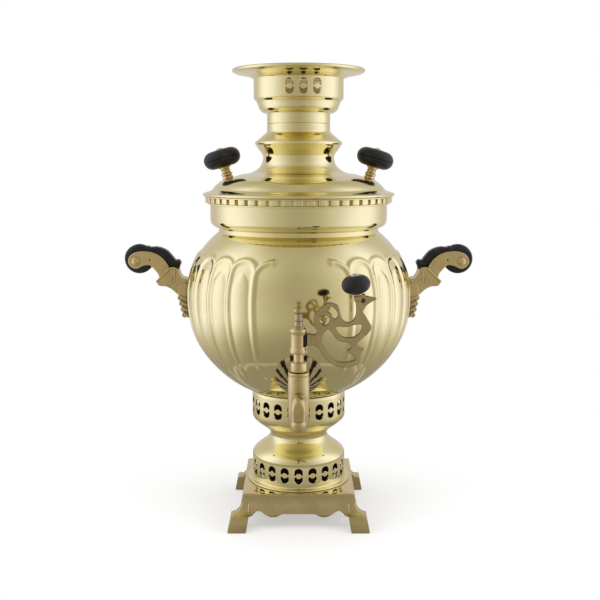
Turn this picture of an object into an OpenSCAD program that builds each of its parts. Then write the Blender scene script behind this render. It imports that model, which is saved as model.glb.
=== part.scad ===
// Table samovar with a charcoal fire tube, spun from sheet brass on a cast stand.
// The origin is the centre of the footprint on the table. +Z is up, the tap faces -Y.

/* [Stand] */
// Side of the square top plate
plate_w = 117; // [112:1:130]
// Height of the top plate over the table
stand_h = 37; // [33:0.5:44]
// Outward flare of each side below the plate
stand_flare = 5; // [3:0.5:7]
// Wall of the casting
stand_wall = 4; // [3:0.5:5]
// Side of each square foot
foot_w = 19; // [16:0.5:22]
// Height of each foot block
foot_h = 16; // [12:0.5:17]
// Reach of each foot past the plate's edge
foot_reach = 15; // [12:0.5:17]
// Height of the apron's lower edge
apron_z = 16; // [13:0.5:17]

/* [Pedestal] */
// Height from the stand to the rim that carries the vessel
pedestal_h = 99; // [94:0.5:104]
// Outer radius of both pierced bands
band_r = 50; // [47:0.5:53]
// Height of the lower pierced band
low_band_h = 27.5; // [23:0.5:30]
// Height of the upper pierced band
top_band_h = 27; // [24:0.5:30]
// Radius of the waist
waist_r = 30.6; // [27:0.2:34]
// Radius of the foot flange
pedestal_foot_r = 55.5; // [55:0.5:58.5]
// Holes around each band
hole_count = 21; // [15:1:22]
// Width of one pierced figure
hole_w = 8.8; // [7:0.1:9.4]
// Height of one pierced figure
hole_h = 16.8; // [14:0.2:18]

/* [Vessel] */
// Thickness of the spun sheet
sheet = 1.5; // [1:0.1:2]
// Largest radius of the globe
globe_r = 117.5; // [113:0.5:122]
// Half height of the globe above its widest level
globe_up = 92; // [86:0.5:98]
// Half height of the globe below its widest level
globe_down = 112; // [106:0.5:118]
// Radius of the cove above the shoulder
cove_r = 84.1; // [81:0.1:86]
// Radius of the filling collar
collar_r = 92.8; // [91:0.1:95]
// Height of the collar from the cove to its rim
collar_h = 37.2; // [32:0.2:42]
// Gadroon lobes from one edge of the plain front panel round to the other
flute_count = 23; // [18:1:26]
// Half width in degrees of the plain front panel
plain_half = 24.2; // [20:0.2:30]
// Degrees that the lobes are turned from the tap towards +X
flute_turn = 2; // [0:0.5:4]
// How far a gadroon border stands out of the sheet
flute_rise = 1.5; // [0.6:0.1:1.8]

/* [Collar ring] */
// Height of the dentil ring
ring_h = 8; // [6:0.2:10]
// Thickness of the ring behind the dentils
ring_t = 2; // [1.6:0.1:2.6]
// How far each dentil stands out
dentil_d = 3.2; // [2:0.2:4]
// Dentils around the ring
dentil_count = 52; // [36:1:60]

/* [Fire tube] */
// Radius of the tube at its top
tube_r = 30.5; // [28:0.1:31.5]
// Radius of the tube at the grate
firebox_r = 42; // [39:0.5:44]
// Height from the lid's rim to the tube's top
tube_over_rim = 73; // [70:0.5:76]
// Thickness of the iron grate
grate_t = 4; // [3:0.5:5]
// Width of the slots in the grate
grate_slot = 5; // [3:0.5:6]

/* [Lid] */
// Radius of the lid's flange
lid_r = 100.4; // [98:0.2:104]
// Height of the lid from its flange to its neck
lid_h = 74; // [73.5:0.5:80]
// Radius of the lid's waist
lid_waist_r = 37.1; // [36:0.2:39]
// Radius of the bead under the lid's neck
lid_bead_r = 45.4; // [43:0.2:48]
// Distance of the knobs from the axis, along the lid's cone
lid_knob_at = 74; // [71:0.5:76]
// Radius of the lid knobs
lid_knob_r = 19.5; // [15:0.5:20.5]
// Thickness of the lid knobs
lid_knob_t = 18.4; // [14:0.2:19]
// Length of the turned stems
lid_stem_h = 12.2; // [10:0.2:16]

/* [Crown] */
// Radius of the crown's cup
crown_r = 46.5; // [43:0.5:50]
// Radius of the crown's rim
crown_rim_r = 68.6; // [64:0.5:72]
// Height of the crown's pierced wall
crown_wall_h = 18.2; // [18:0.2:24]
// Height of the crown's neck
crown_neck_h = 10.3; // [8:0.1:12]
// Depth of the skirt that drops into the fire tube
crown_skirt_h = 9; // [6:0.5:12]

/* [Handles] */
// Thickness of the black grips
grip_t = 14; // [11:0.5:17]
// Thickness of each brass cheek
cheek_t = 3; // [2:0.2:4]
// Radius of the grip's rolled end
grip_roll_r = 15.5; // [14:0.1:17]
// Radius of the through bolt
handle_bolt_r = 2.5; // [2:0.1:3]
// Radius of the screws that hold each handle
handle_screw_r = 2.5; // [2:0.1:3]

/* [Tap] */
// Distance of the key's axis in front of the samovar's axis
key_y = 171; // [166:0.5:180]
// Height of the tap's shank over the table
shank_z = 170; // [164:0.5:174]
// Radius of the tap's upright barrel
barrel_r = 9.6; // [9:0.1:10.5]
// Height of the barrel
barrel_h = 46; // [42:0.5:50]
// Radius of the shank
shank_r = 8.4; // [7.5:0.1:9]
// Radius of the water way
water_r = 3.4; // [2.8:0.1:3.8]
// Large radius of the tapered plug
plug_r = 6.2; // [5.8:0.1:6.5]
// Small radius of the tapered plug
plug_small_r = 5.5; // [5:0.1:5.7]
// Radius of the spout
spout_r = 7.3; // [6.8:0.1:7.8]
// Reach of the spout in front of the key's axis
spout_reach = 17; // [15:0.5:20]
// Drop of the spout's mouth below the shank
spout_drop = 26; // [20:0.5:28]
// Radius of the thread behind the shank
tail_r = 6; // [5:0.1:7]

/* [Tap key] */
// Thickness of the pierced key plate
key_t = 5; // [4:0.2:6]
// Radius of the key's sleeve
sleeve_r = 7.2; // [6.8:0.1:8]
// Radius of the spindle inside the sleeve
spindle_r = 2.4; // [2:0.1:2.6]
// Radius of the key's knob
key_knob_r = 12.8; // [11:0.2:14]
// Thickness of the key's knob
key_knob_t = 16; // [13:0.2:16.4]
// Lean of the key's knob in degrees
key_knob_lean = 8; // [4:0.5:12]

/* [Fits] */
// Gap at soldered seats
solder_gap = 0.05; // [0.02:0.01:0.1]
// Gap at seats that lift off
lift_gap = 0.1; // [0.05:0.05:0.3]
// Radial clearance of running fits
run_gap = 0.05; // [0.02:0.01:0.1]
// Radial clearance of the loose spigots under the lid and crown
spigot_gap = 0.5; // [0.3:0.1:0.8]

/* [Hidden] */
$fn = 72;

brass = [0.79, 0.74, 0.52];
cast_brass = [0.70, 0.63, 0.42];
bronze = [0.78, 0.62, 0.42];
black = [0.10, 0.09, 0.09];
steel = [0.72, 0.72, 0.74];
iron = [0.28, 0.27, 0.27];
cut = 1;            // how far a cutter runs past a face

// ---- outlines -------------------------------------------------------------

// Points on an arc of an ellipse, from angle a to angle b
function arc(cx, cz, rx, rz, a, b, n = 8) =
    [for (i = [0:n]) let (t = a + (b - a) * i / n) [cx + rx * cos(t), cz + rz * sin(t)]];

// Unit vector square to the path at point i, pointing left of its direction
function left_of(p, i) =
    let (d = p[min(i + 1, len(p) - 1)] - p[max(i - 1, 0)]) [-d[1], d[0]] / norm(d);

// Closed outline of a sheet of thickness t to the left of a path
function sheet_outline(p, t) =
    concat(p, [for (i = [len(p) - 1:-1:0]) p[i] + t * left_of(p, i)]);

// Smooth closed curve through points, with n steps to each span
function smooth(p, n = 4) = [for (i = [0:len(p) - 1]) for (k = [0:n - 1])
    let (a = p[(i + len(p) - 1) % len(p)], b = p[i], c = p[(i + 1) % len(p)],
         d = p[(i + 2) % len(p)], t = k / n)
    0.5 * (2 * b + (c - a) * t + (2 * a - 5 * b + 4 * c - d) * t * t
        + (3 * b - a - 3 * c + d) * t * t * t)];

module spun(path, t = sheet) { rotate_extrude() polygon(sheet_outline(path, t)); }

// Two facing crescents: an upright oval with a disc and a bridge left in it
module crescents_2d(w, h) {
    eye_r = w * 0.33;
    bridge = h * 0.15;
    difference() {
        union() {
            square([w, h - w], center = true);
            for (s = [-1, 1]) translate([0, s * (h - w) / 2]) circle(w / 2);
        }
        circle(eye_r);
        square([w + cut, bridge], center = true);
    }
}

// One figure cut through a round wall of radius r, at angle a and height z
module pierce(r, a, z, w = hole_w, h = hole_h) {
    rotate([0, 0, a]) translate([0, -r, z]) rotate([90, 0, 0])
        translate([0, 0, -4 * sheet]) linear_extrude(8 * sheet) crescents_2d(w, h);
}

// ---- stand ----------------------------------------------------------------

plate_half = plate_w / 2;
side_half = plate_half + stand_flare;
foot_out = plate_half + foot_reach;
foot_in = foot_out - foot_w;
plate_t = stand_wall;

// Half section of the stand's flared side
module side_2d(inset, top) {
    wall_x = side_half - inset;
    neck_x = plate_half - inset;
    flare = arc(wall_x, top, stand_flare, top - apron_z, 180, 250, 6);
    polygon(concat([[-neck_x, top]], [for (p = flare) [-p[0], p[1]]], [[-wall_x, 0], [wall_x, 0]],
        [for (i = [len(flare) - 1:-1:0]) flare[i]]));
}

// Body made by crossing the same section in both directions
module flared_block(inset, top) {
    intersection_for(a = [0, 90])
        rotate([90, 0, a]) translate([0, 0, -foot_out]) linear_extrude(2 * foot_out)
            side_2d(inset, top);
}

lobe_x = 26.4;        // the apron's hanging lobes, either side of the middle
lobe_r = 11;
lobe_drop = 3.4;    // how far a lobe hangs below the apron's edge
arch_x = 44.4;      // the small arches beside the feet
arch_rise = 3;
arch_r = 7;

// Space under the apron, seen from one side
module apron_2d() {
    difference() {
        translate([-foot_in, -cut]) square([2 * foot_in, apron_z + cut]);
        for (s = [-1, 1]) translate([s * lobe_x, apron_z - lobe_drop + lobe_r]) circle(lobe_r);
    }
    for (s = [-1, 1]) translate([s * arch_x, apron_z + arch_rise - arch_r]) circle(arch_r);
}

// Section of one foot: a block that leans out, under a hollow neck into the corner above
foot_neck_z = 20.5;
foot_lean = 2.9;
module foot_2d() {
    polygon([[foot_in, 0], [foot_out, 0], [foot_out - foot_lean, foot_h],
        [foot_out - foot_lean - 3.6, foot_h + 0.9], [side_half, foot_neck_z],
        [foot_in - foot_lean, foot_neck_z], [foot_in - foot_lean, foot_h]]);
}

module foot() {
    deep = foot_w + foot_lean;
    intersection() {
        rotate([90, 0, 0]) translate([0, 0, -foot_out]) linear_extrude(deep) foot_2d();
        rotate([90, 0, 90]) translate([0, 0, foot_out - deep]) linear_extrude(deep) foot_2d();
    }
}

boss_r = 4;             // bosses in the pedestal that take the stand's screws
boss_h = 9;
boss_at = band_r - sheet / 2 - boss_r;
base_screw_r = 2;
base_head_r = 3.8;
base_head_h = 2.4;

module at_base_screws() {
    for (a = [0:90:270]) rotate([0, 0, a + 45]) translate([boss_at, 0, stand_h]) children();
}

module base_stand() color(cast_brass) difference() {
    union() {
        difference() {
            flared_block(0, stand_h);
            flared_block(stand_wall, stand_h - plate_t);
            for (a = [0, 90]) rotate([90, 0, a]) translate([0, 0, -foot_out])
                linear_extrude(2 * foot_out) apron_2d();
        }
        for (a = [0:90:270]) rotate([0, 0, a]) foot();
    }
    at_base_screws() translate([0, 0, -plate_t - cut])
        cylinder(plate_t + 2 * cut, r = base_screw_r + run_gap);
}

module base_screws() color(steel) at_base_screws() {
    translate([0, 0, -plate_t]) cylinder(plate_t + boss_h - 1, r = base_screw_r);
    translate([0, 0, -plate_t - base_head_h]) difference() {
        cylinder(base_head_h, r = base_head_r);
        translate([-base_head_r, -0.5, -cut]) cube([2 * base_head_r, 1, cut + 1]);
    }
}

// ---- pedestal -------------------------------------------------------------

gallery_z = stand_h + pedestal_h;               // rim that carries the vessel
low_band_z = stand_h + low_band_h;
top_band_z = gallery_z - top_band_h;
waist_z = (low_band_z + top_band_z) / 2;
low_hole_z = stand_h + 2.8 + (low_band_h - 1.8) / 2;
top_hole_z = gallery_z - 7 - hole_h / 2;
pedestal_foot_t = 1.8;
ledge_r = band_r - 2.5 * boss_r;        // inner edge of the ledge that carries the bosses

// Double curve from one radius to another, level with the axis at both ends
function ogee(r0, z0, r1, z1, n = 9) =
    [for (i = [0:n]) [r0 + (r1 - r0) * (1 - cos(180 * i / n)) / 2, z0 + (z1 - z0) * i / n]];

pedestal_path = concat([[band_r, stand_h + pedestal_foot_t / 2]],
    ogee(band_r, low_band_z, waist_r, waist_z),
    [for (p = ogee(waist_r, waist_z, band_r, top_band_z)) if (p[1] > waist_z) p],
    [[band_r, gallery_z]]);

module pedestal() color(brass) difference() {
    union() {
        spun(pedestal_path);
        // rolled foot flange and the ledge inside it
        translate([0, 0, stand_h]) rotate_extrude() translate([ledge_r, 0])
            square([pedestal_foot_r - pedestal_foot_t / 2 - ledge_r, pedestal_foot_t]);
        translate([0, 0, stand_h + pedestal_foot_t / 2]) rotate_extrude()
            translate([pedestal_foot_r - pedestal_foot_t / 2, 0]) circle(pedestal_foot_t / 2);
        at_base_screws() cylinder(boss_h, r = boss_r);
    }
    at_base_screws() translate([0, 0, -cut]) cylinder(boss_h, r = base_screw_r + run_gap);
    for (i = [0:hole_count - 1]) {
        pierce(band_r, i * 360 / hole_count, low_hole_z);
        pierce(band_r, (i + 0.5) * 360 / hole_count, top_hole_z);
    }
}

// ---- vessel ---------------------------------------------------------------

globe_pow = 2.1;        // a little fuller than an ellipse

// Angle on the globe's outline at which its radius is r
function globe_angle(r) = acos(pow(r / globe_r, globe_pow / 2));
// Height of the outline above or below the widest level, at radius r
function globe_rise(r, half) = half * pow(1 - pow(r / globe_r, globe_pow), 1 / globe_pow);

seat_r = band_r - sheet;                                    // the gallery's inner edge
globe_z = gallery_z + solder_gap + globe_rise(seat_r, globe_down);
cove_z = globe_z + globe_rise(cove_r, globe_up);
rim_z = cove_z + collar_h;                                  // the vessel's mouth
cove_h = 4;
collar_roll = 9;

function globe_point(a, grow = 0) = let (half = a > 0 ? globe_up : globe_down)
    [(globe_r + grow) * pow(cos(a), 2 / globe_pow),
     globe_z + (half + grow) * sign(a) * pow(abs(sin(a)), 2 / globe_pow)];

// Radius of the globe's outside at height z
function globe_r_at(z) = let (half = z > globe_z ? globe_up : globe_down)
    globe_r * pow(1 - pow(abs(z - globe_z) / half, globe_pow), 1 / globe_pow);

tube_hole_r = firebox_r + solder_gap;
globe_low = -globe_angle(tube_hole_r - 2 * sheet);     // cut back by the tube's hole
globe_high = globe_angle(cove_r);
globe_steps = 28;

vessel_path = concat(
    [for (i = [0:globe_steps]) globe_point(globe_low + (globe_high - globe_low) * i / globe_steps)],
    [[cove_r, cove_z + cove_h]],
    arc(collar_r - collar_roll, cove_z + cove_h + collar_roll, collar_roll, collar_roll - 0.5,
        -88, 0, 5),
    [[collar_r, rim_z]]);

// One raised border that follows the globe from the shoulder to the foot
flute_top = 34;         // degrees on the globe's outline
flute_low = -48;
module flute() {
    path = [for (i = [0:10]) globe_point(flute_low + (flute_top - flute_low) * i / 10, flute_rise)];
    rotate([90, 0, 0]) linear_extrude(2 * flute_rise, center = true)
        polygon(sheet_outline(path, flute_rise + sheet / 2));
}

flute_pitch = (360 - 2 * plain_half) / flute_count;

module vessel_shell() color(brass) difference() {
    union() {
        spun(vessel_path);
        difference() {
            for (i = [0:flute_count])
                rotate([0, 0, -90 + flute_turn + plain_half + i * flute_pitch]) flute();
            // the borders stop at the handles' feet
            translate([-globe_r - 5, -handle_foot_t / 2 - 0.5, globe_z - 26])
                cube([2 * globe_r + 10, handle_foot_t + 1, 44]);
        }
    }
    translate([0, 0, globe_z - globe_down - cut]) cylinder(globe_down, r = tube_hole_r);
    rotate([90, 0, 0]) translate([0, shank_z, 0]) cylinder(globe_r + 10, r = tail_r + run_gap);
    for (a = [0, 180]) rotate([0, 0, a]) at_handle_screws() translate([0, 0, -20])
        cylinder(30, r = handle_screw_r + run_gap);
}

// The vessel's outside as one solid, grown a little, to cut seats with
module globe_cutter(grow) {
    rotate_extrude($fn = 240) polygon(concat(
        [for (i = [0:globe_steps]) globe_point(-80 + 130 * i / globe_steps, grow)],
        [[0, globe_point(50, grow)[1]], [0, globe_point(-80, grow)[1]]]));
}

ring_lip_h = 1.2;       // lip over the dentils
ring_lip_out = 0.5;     // how far the lip stands over their faces
dentil_share = 0.76;    // part of the pitch that a dentil fills
module collar_ring() color(brass) {
    inner = collar_r + solder_gap;
    outer = inner + ring_t;
    lip = outer + dentil_d + ring_lip_out;
    dentil_w = 2 * PI * outer / dentil_count * dentil_share;
    translate([0, 0, rim_z - ring_h]) {
        rotate_extrude() polygon([[inner, 0], [outer, 0], [outer, ring_h - ring_lip_h],
            [lip, ring_h - ring_lip_h], [lip, ring_h], [inner, ring_h]]);
        for (i = [0:dentil_count - 1]) rotate([0, 0, i * 360 / dentil_count])
            translate([inner + ring_t / 2, -dentil_w / 2, 1])
                cube([ring_t / 2 + dentil_d, dentil_w, ring_h - ring_lip_h / 2 - 1]);
    }
}

// ---- fire tube ------------------------------------------------------------

tube_low_z = globe_z - globe_rise(tube_hole_r, globe_down) - 3;
tube_top_z = rim_z + tube_over_rim;
firebox_h = 30;         // straight part at the grate
taper_z = rim_z - 30;   // where the tube has narrowed to its neck
grate_ledge_z = tube_low_z + 8;
ledge_w = 3;

module fire_tube() color(brass) {
    spun([[firebox_r, tube_low_z], [firebox_r, tube_low_z + firebox_h], [tube_r, taper_z],
        [tube_r, tube_top_z]]);
    translate([0, 0, grate_ledge_z - sheet]) rotate_extrude()
        translate([firebox_r - sheet - ledge_w, 0]) square([ledge_w + sheet / 2, sheet]);
}

module fire_grate() color(iron) translate([0, 0, grate_ledge_z]) {
    r = firebox_r - sheet - spigot_gap;
    difference() {
        cylinder(grate_t, r = r);
        for (k = [-3:3]) translate([2 * k * grate_slot, 0, grate_t / 2])
            cube([grate_slot, 2 * (r - 5 - abs(k) * grate_slot * 0.9), grate_t + cut],
                center = true);
    }
}

// ---- tap ------------------------------------------------------------------

barrel_top_z = shank_z + barrel_h / 2;
barrel_low_z = barrel_top_z - barrel_h;
counterbore_h = 4;
plug_low_z = barrel_low_z + counterbore_h - 0.3;     // its washer clears the body
plug_top_z = barrel_top_z + 0.4;
shank_face_y = globe_r_at(shank_z);             // where the shank meets the globe
escutcheon_r = 23;
escutcheon_up = 2.5;         // its middle lies a little over the shank
escutcheon_t = 6;
nut_t = 6;
gasket_t = 1.5;
washer_t = 1.2;
tap_seat_r = tail_r + 5;
// Flat inner end of the wedge that the gasket and nut bear on
tap_seat_y = globe_r_at(shank_z - tap_seat_r) - sheet - 2;

module along_shank(y) { translate([0, -y, shank_z]) rotate([90, 0, 0]) children(); }

// Cone of the plug, or of its bore when grown
module plug_cone(grow, low, high) {
    slope = (plug_r - plug_small_r) / (plug_top_z - plug_low_z);
    low_r = plug_small_r + slope * (low - plug_low_z) + grow;
    translate([0, 0, low]) cylinder(high - low, r1 = low_r, r2 = low_r + slope * (high - low));
}

module tap_body() color(cast_brass) {
    difference() {
        union() {
            translate([0, -key_y, barrel_low_z]) cylinder(barrel_h, r = barrel_r);
            // shank from the barrel to the globe, with a collar at the escutcheon
            along_shank(shank_face_y - 4) cylinder(key_y - shank_face_y + 4, r = shank_r);
            along_shank(tap_seat_y - gasket_t - nut_t - 2)
                cylinder(shank_face_y - tap_seat_y + 12, r = tail_r);
            // spout: forward, round the elbow and down
            along_shank(key_y) cylinder(spout_reach, r = spout_r);
            translate([0, -key_y - spout_reach, shank_z]) sphere(spout_r);
            translate([0, -key_y - spout_reach, shank_z - spout_drop])
                cylinder(spout_drop, r = spout_r);
        }
        translate([0, -key_y, 0]) plug_cone(run_gap, plug_low_z - cut, barrel_top_z + cut);
        translate([0, -key_y, barrel_low_z - cut])
            cylinder(counterbore_h + cut, r = plug_r + 1 + run_gap);
        along_shank(tap_seat_y - 30) cylinder(key_y - tap_seat_y + 30 + spout_reach, r = water_r);
        translate([0, -key_y - spout_reach, shank_z - spout_drop - cut])
            cylinder(spout_drop + cut, r = water_r);
        translate([0, -key_y - spout_reach, shank_z - spout_drop - cut])
            cylinder(8 + cut, r = spout_r - 1.8);
        globe_side_cut();
    }
}

// Leaves only the threaded tail inside the globe
module globe_side_cut() {
    difference() {
        globe_cutter(solder_gap);
        along_shank(0) cylinder(globe_r + 20, r = tail_r);
    }
}

// Slope of the globe's wall where the shank enters, in degrees from upright
shell_tilt = atan((globe_r_at(shank_z + 1) - globe_r_at(shank_z - 1)) / 2);
escutcheon_dome_r = 41;
escutcheon_sink = 14;       // how far its blank reaches into the globe before it is cut

module tap_escutcheon() color(cast_brass) difference() {
    translate([0, -globe_r_at(shank_z + escutcheon_up), shank_z + escutcheon_up])
        rotate([90 + shell_tilt, 0, 0]) intersection() {
        translate([0, 0, -escutcheon_sink])
            cylinder(escutcheon_sink + escutcheon_t, r = escutcheon_r);
        translate([0, 0, escutcheon_t - escutcheon_dome_r]) sphere(escutcheon_dome_r);
    }
    globe_cutter(solder_gap);
    along_shank(0) cylinder(key_y, r = shank_r + run_gap);
}

module tap_ring(y, t, r) { along_shank(y) difference() {
    cylinder(t, r = r);
    translate([0, 0, -cut]) cylinder(t + 2 * cut, r = tail_r + run_gap);
} }

// Wedge between the sloping wall and the square shank
module tap_seat() color(cast_brass) difference() {
    tap_ring(tap_seat_y, shank_face_y - tap_seat_y + 12, tap_seat_r);
    outside_inner_globe();
}

// Everything beyond the vessel's inner face
module outside_inner_globe() {
    difference() {
        translate([-60, -globe_r - 30, shank_z - 60]) cube([120, 80, 120]);
        globe_cutter(-sheet - solder_gap);
    }
}

module tap_gasket() color(black) tap_ring(tap_seat_y - gasket_t, gasket_t, tail_r + 4);

module tap_nut() color(brass) along_shank(tap_seat_y - gasket_t - nut_t) difference() {
    linear_extrude(nut_t) circle(tail_r + 4, $fn = 6);
    translate([0, 0, -cut]) cylinder(nut_t + 2 * cut, r = tail_r + run_gap);
}

// ---- tap key --------------------------------------------------------------

collar_top_z = plug_top_z + 8.6;        // plug's collar above the barrel
sleeve_z = collar_top_z + 8.4;          // foot of the key's sleeve
sleeve_h = 22.3;
sleeve_top_z = sleeve_z + sleeve_h;
flange_h = 4.8;
flange_r = sleeve_r + 0.7;
finial_h = 18;
slot_low_z = sleeve_z + flange_h + 2;
slot_high_z = sleeve_top_z - flange_h;
lug_x = spindle_r + 0.7;
small_screw_r = 1.5;                    // screws of the plug and of the knobs

module at_key() { translate([0, -key_y, 0]) children(); }

module tap_plug() color(cast_brass) at_key() difference() {
    union() {
        plug_cone(0, plug_low_z, plug_top_z);
        translate([0, 0, plug_top_z]) cylinder(collar_top_z - plug_top_z, r = sleeve_r + 0.1);
        translate([0, 0, collar_top_z]) cylinder(sleeve_z - collar_top_z, r = sleeve_r - 2.7);
        translate([0, 0, sleeve_z]) cylinder(sleeve_h + finial_h - 5, r = spindle_r);
    }
    // port, crosswise while the tap is shut
    translate([0, 0, shank_z]) rotate([0, 90, 0]) cylinder(3 * plug_r, r = water_r, center = true);
    translate([0, 0, plug_low_z - cut]) cylinder(12 + cut, r = small_screw_r + run_gap);
}

module plug_washer() color(steel) at_key()
    translate([0, 0, plug_low_z - washer_t]) difference() {
        cylinder(washer_t, r = plug_r + 0.6);
        translate([0, 0, -cut]) cylinder(washer_t + 2 * cut, r = small_screw_r + run_gap);
    }

module plug_screw() color(steel) at_key() {
    translate([0, 0, plug_low_z - washer_t]) cylinder(washer_t + 11, r = small_screw_r);
    translate([0, 0, plug_low_z - washer_t - 2]) difference() {
        cylinder(2, r = 3.2);
        translate([-4, -0.4, -cut]) cube([8, 0.8, cut + 0.8]);
    }
}

module key_sleeve() color(brass) at_key() difference() {
    union() {
        translate([0, 0, sleeve_z]) cylinder(sleeve_h, r = sleeve_r);
        for (z = [sleeve_z, sleeve_top_z - flange_h])
            translate([0, 0, z]) cylinder(flange_h, r = flange_r);
    }
    translate([0, 0, sleeve_z - cut]) cylinder(sleeve_h + 2 * cut, r = spindle_r + run_gap);
    // window that takes the plate's lug
    translate([lug_x - 0.1, -flange_r - cut, slot_low_z])
        cube([flange_r, flange_r + cut + key_t / 2 + solder_gap, slot_high_z - slot_low_z]);
}

module key_finial() color(brass) at_key() translate([0, 0, sleeve_top_z]) difference() {
    union() {
        cylinder(1.6, r1 = flange_r - 0.6, r2 = 4.4);
        cylinder(6.4, r = 4.1);
        translate([0, 0, 7.3]) rotate_extrude() translate([3.4, 0]) circle(1.1);
        cylinder(finial_h - 3.5, r = 3.6);
        translate([0, 0, finial_h - 3.7]) cylinder(3.7, r = 4.6);
    }
    translate([0, 0, -cut]) cylinder(finial_h - 5 + 2 * cut, r = spindle_r + run_gap);
}

// Outline of the key plate, a cockerel in a ring, and its windows:
// [distance from the spindle, height over the sleeve's foot]
key_outline = [[14.7, 16.5], [17, 19.6], [14.7, 23], [13.3, 28.5], [13.7, 32.8], [15.3, 36.2],
    [18.7, 39.6], [24.7, 44.3], [29, 45.2], [34.8, 42.4], [36.9, 35.5], [38.3, 31.4], [40.7, 28.7],
    [43.8, 27.6], [47.2, 28.7], [49.8, 32.1], [50.8, 36.2], [50.7, 42.4], [49.6, 47.9], [48.6, 50.8],
    [52.5, 52], [58.2, 53.2], [58.8, 51.6], [61.8, 50.9], [68.8, 48.9], [64.5, 46.1], [60.2, 43.1],
    [58, 39.6], [57, 36.9], [60, 32.1], [62.8, 27.3], [64.5, 23.8], [63.5, 20.4], [60.8, 16.9],
    [56.8, 13.5], [52.8, 10], [52.1, 7.2], [53.2, 5.5], [57.9, 3.9], [55.9, 1], [55.3, -2.4],
    [54.3, -7.4], [50.9, -10.8], [46.1, -12.6], [39.7, -13], [32.4, -11.5], [26.2, -7.4],
    [21.5, -1.8], [18.1, 3.7], [15.3, 6.5], [12.5, 7.6], [12.5, 15.4]];
key_window = [[22, 17.6], [25.7, 21.4], [28.9, 19], [32.3, 14.1], [35.8, 11], [40, 10], [45.4, 9],
    [46.5, 6], [46, 4], [43.4, 1.8], [45.4, -0.4], [49.4, -2.5], [50.1, -6], [46, -7.7], [40, -8.4],
    [33.8, -7.4], [28.6, -3.4], [24.2, 2.8], [21, 8.2], [20.6, 13.7]];
key_belly = [[33.5, 23.6], [42.5, 23.5], [49.3, 25.3], [55.2, 25.6], [55.7, 21.7], [53.7, 17.6],
    [49.6, 14.8], [43.8, 13.8], [39.1, 14.8], [35, 18.3]];
key_curl = [[28, 41.7], [31.5, 40.3], [34.3, 36.2], [34.4, 32.8], [32.6, 30.7], [30.1, 32.1],
    [28.6, 35.5], [25, 38]];
key_eye = [56.8, 47.1];
key_tail = [23.1, 29.4];

// The knob stands on the cockerel's comb
knob_seat = [51.9, 51.5];
knob_dir = [-sin(key_knob_lean), cos(key_knob_lean)];
knob_collar_h = 2;

module at_key_knob(along) {
    p = knob_seat + along * knob_dir;
    at_key() translate([p[0], 0, sleeve_z + p[1]]) rotate([0, -key_knob_lean, 0]) children();
}

module key_plate() color(cast_brass) difference() {
    union() {
        at_key() translate([0, key_t / 2, sleeve_z]) rotate([90, 0, 0]) linear_extrude(key_t) {
            difference() {
                polygon(smooth(key_outline));
                polygon(smooth(key_window));
                polygon(smooth(key_belly));
                polygon(smooth(key_curl));
                translate(key_tail) circle(4.6);
                translate(key_eye) circle(1.8);
            }
            // lug that enters the sleeve's window
            translate([lug_x, slot_low_z - sleeve_z + 0.1])
                square([13.2 - lug_x, slot_high_z - slot_low_z - 0.2]);
        }
        at_key_knob(-4) cylinder(4, r = key_t / 2 + 0.4);
    }
    // flat seat for the knob's collar, and the hole for its screw
    at_key_knob(0) cylinder(6, r = 6);
    at_key_knob(-9) cylinder(9 + cut, r = small_screw_r + run_gap);
}

module key_knob_collar() color(bronze) at_key_knob(0) difference() {
    cylinder(knob_collar_h, r1 = 4.4, r2 = 5.2);
    translate([0, 0, -cut]) cylinder(knob_collar_h + 2 * cut, r = small_screw_r + run_gap);
}

// A turned knob with a fully rounded edge
module turned_knob(r, t, bore, groove) {
    difference() {
        union() {
            cylinder(t, r = r - t / 2);
            translate([0, 0, t / 2]) rotate_extrude() translate([r - t / 2, 0]) intersection() {
                circle(t / 2);
                translate([-(r - t / 2), -t]) square([2 * r, 2 * t]);
            }
        }
        translate([0, 0, -cut]) cylinder(t + 2 * cut, r = bore);
        if (groove > 0) translate([0, 0, t / 2]) rotate_extrude() translate([r, 0]) circle(groove);
    }
}

module key_knob() color(black) at_key_knob(knob_collar_h)
    turned_knob(key_knob_r, key_knob_t, small_screw_r + run_gap, 0);

module key_knob_screw() color(steel) {
    at_key_knob(knob_collar_h + key_knob_t) intersection() {
        translate([0, 0, 2.2 - 5.2]) sphere(5.2);
        cylinder(3, r = 4.2);
    }
    at_key_knob(-8) cylinder(8 + knob_collar_h + key_knob_t + 0.1, r = small_screw_r);
}

// ---- handles --------------------------------------------------------------

// Places in the handle's own plane: [distance out from the globe's largest radius,
// height from the widest level]
roll_at = [51.3, 37.2];
scroll_at = [54.1, 35.2];
bolt_head_r = 5;
bolt_head_h = 2.6;
bolt_dome_r = 7;
fork_gap = grip_t + 2 * lift_gap;
bracket_t = fork_gap + 2 * cheek_t;
handle_foot_t = 24;     // width of the foot on the globe
screw_angles = [3, -8]; // where the screws enter the globe, degrees on its outline
rib_r = 2.9;            // turned ribs across the foot
handle_screw_l = 4.6;   // how far the screws reach into the foot

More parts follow.
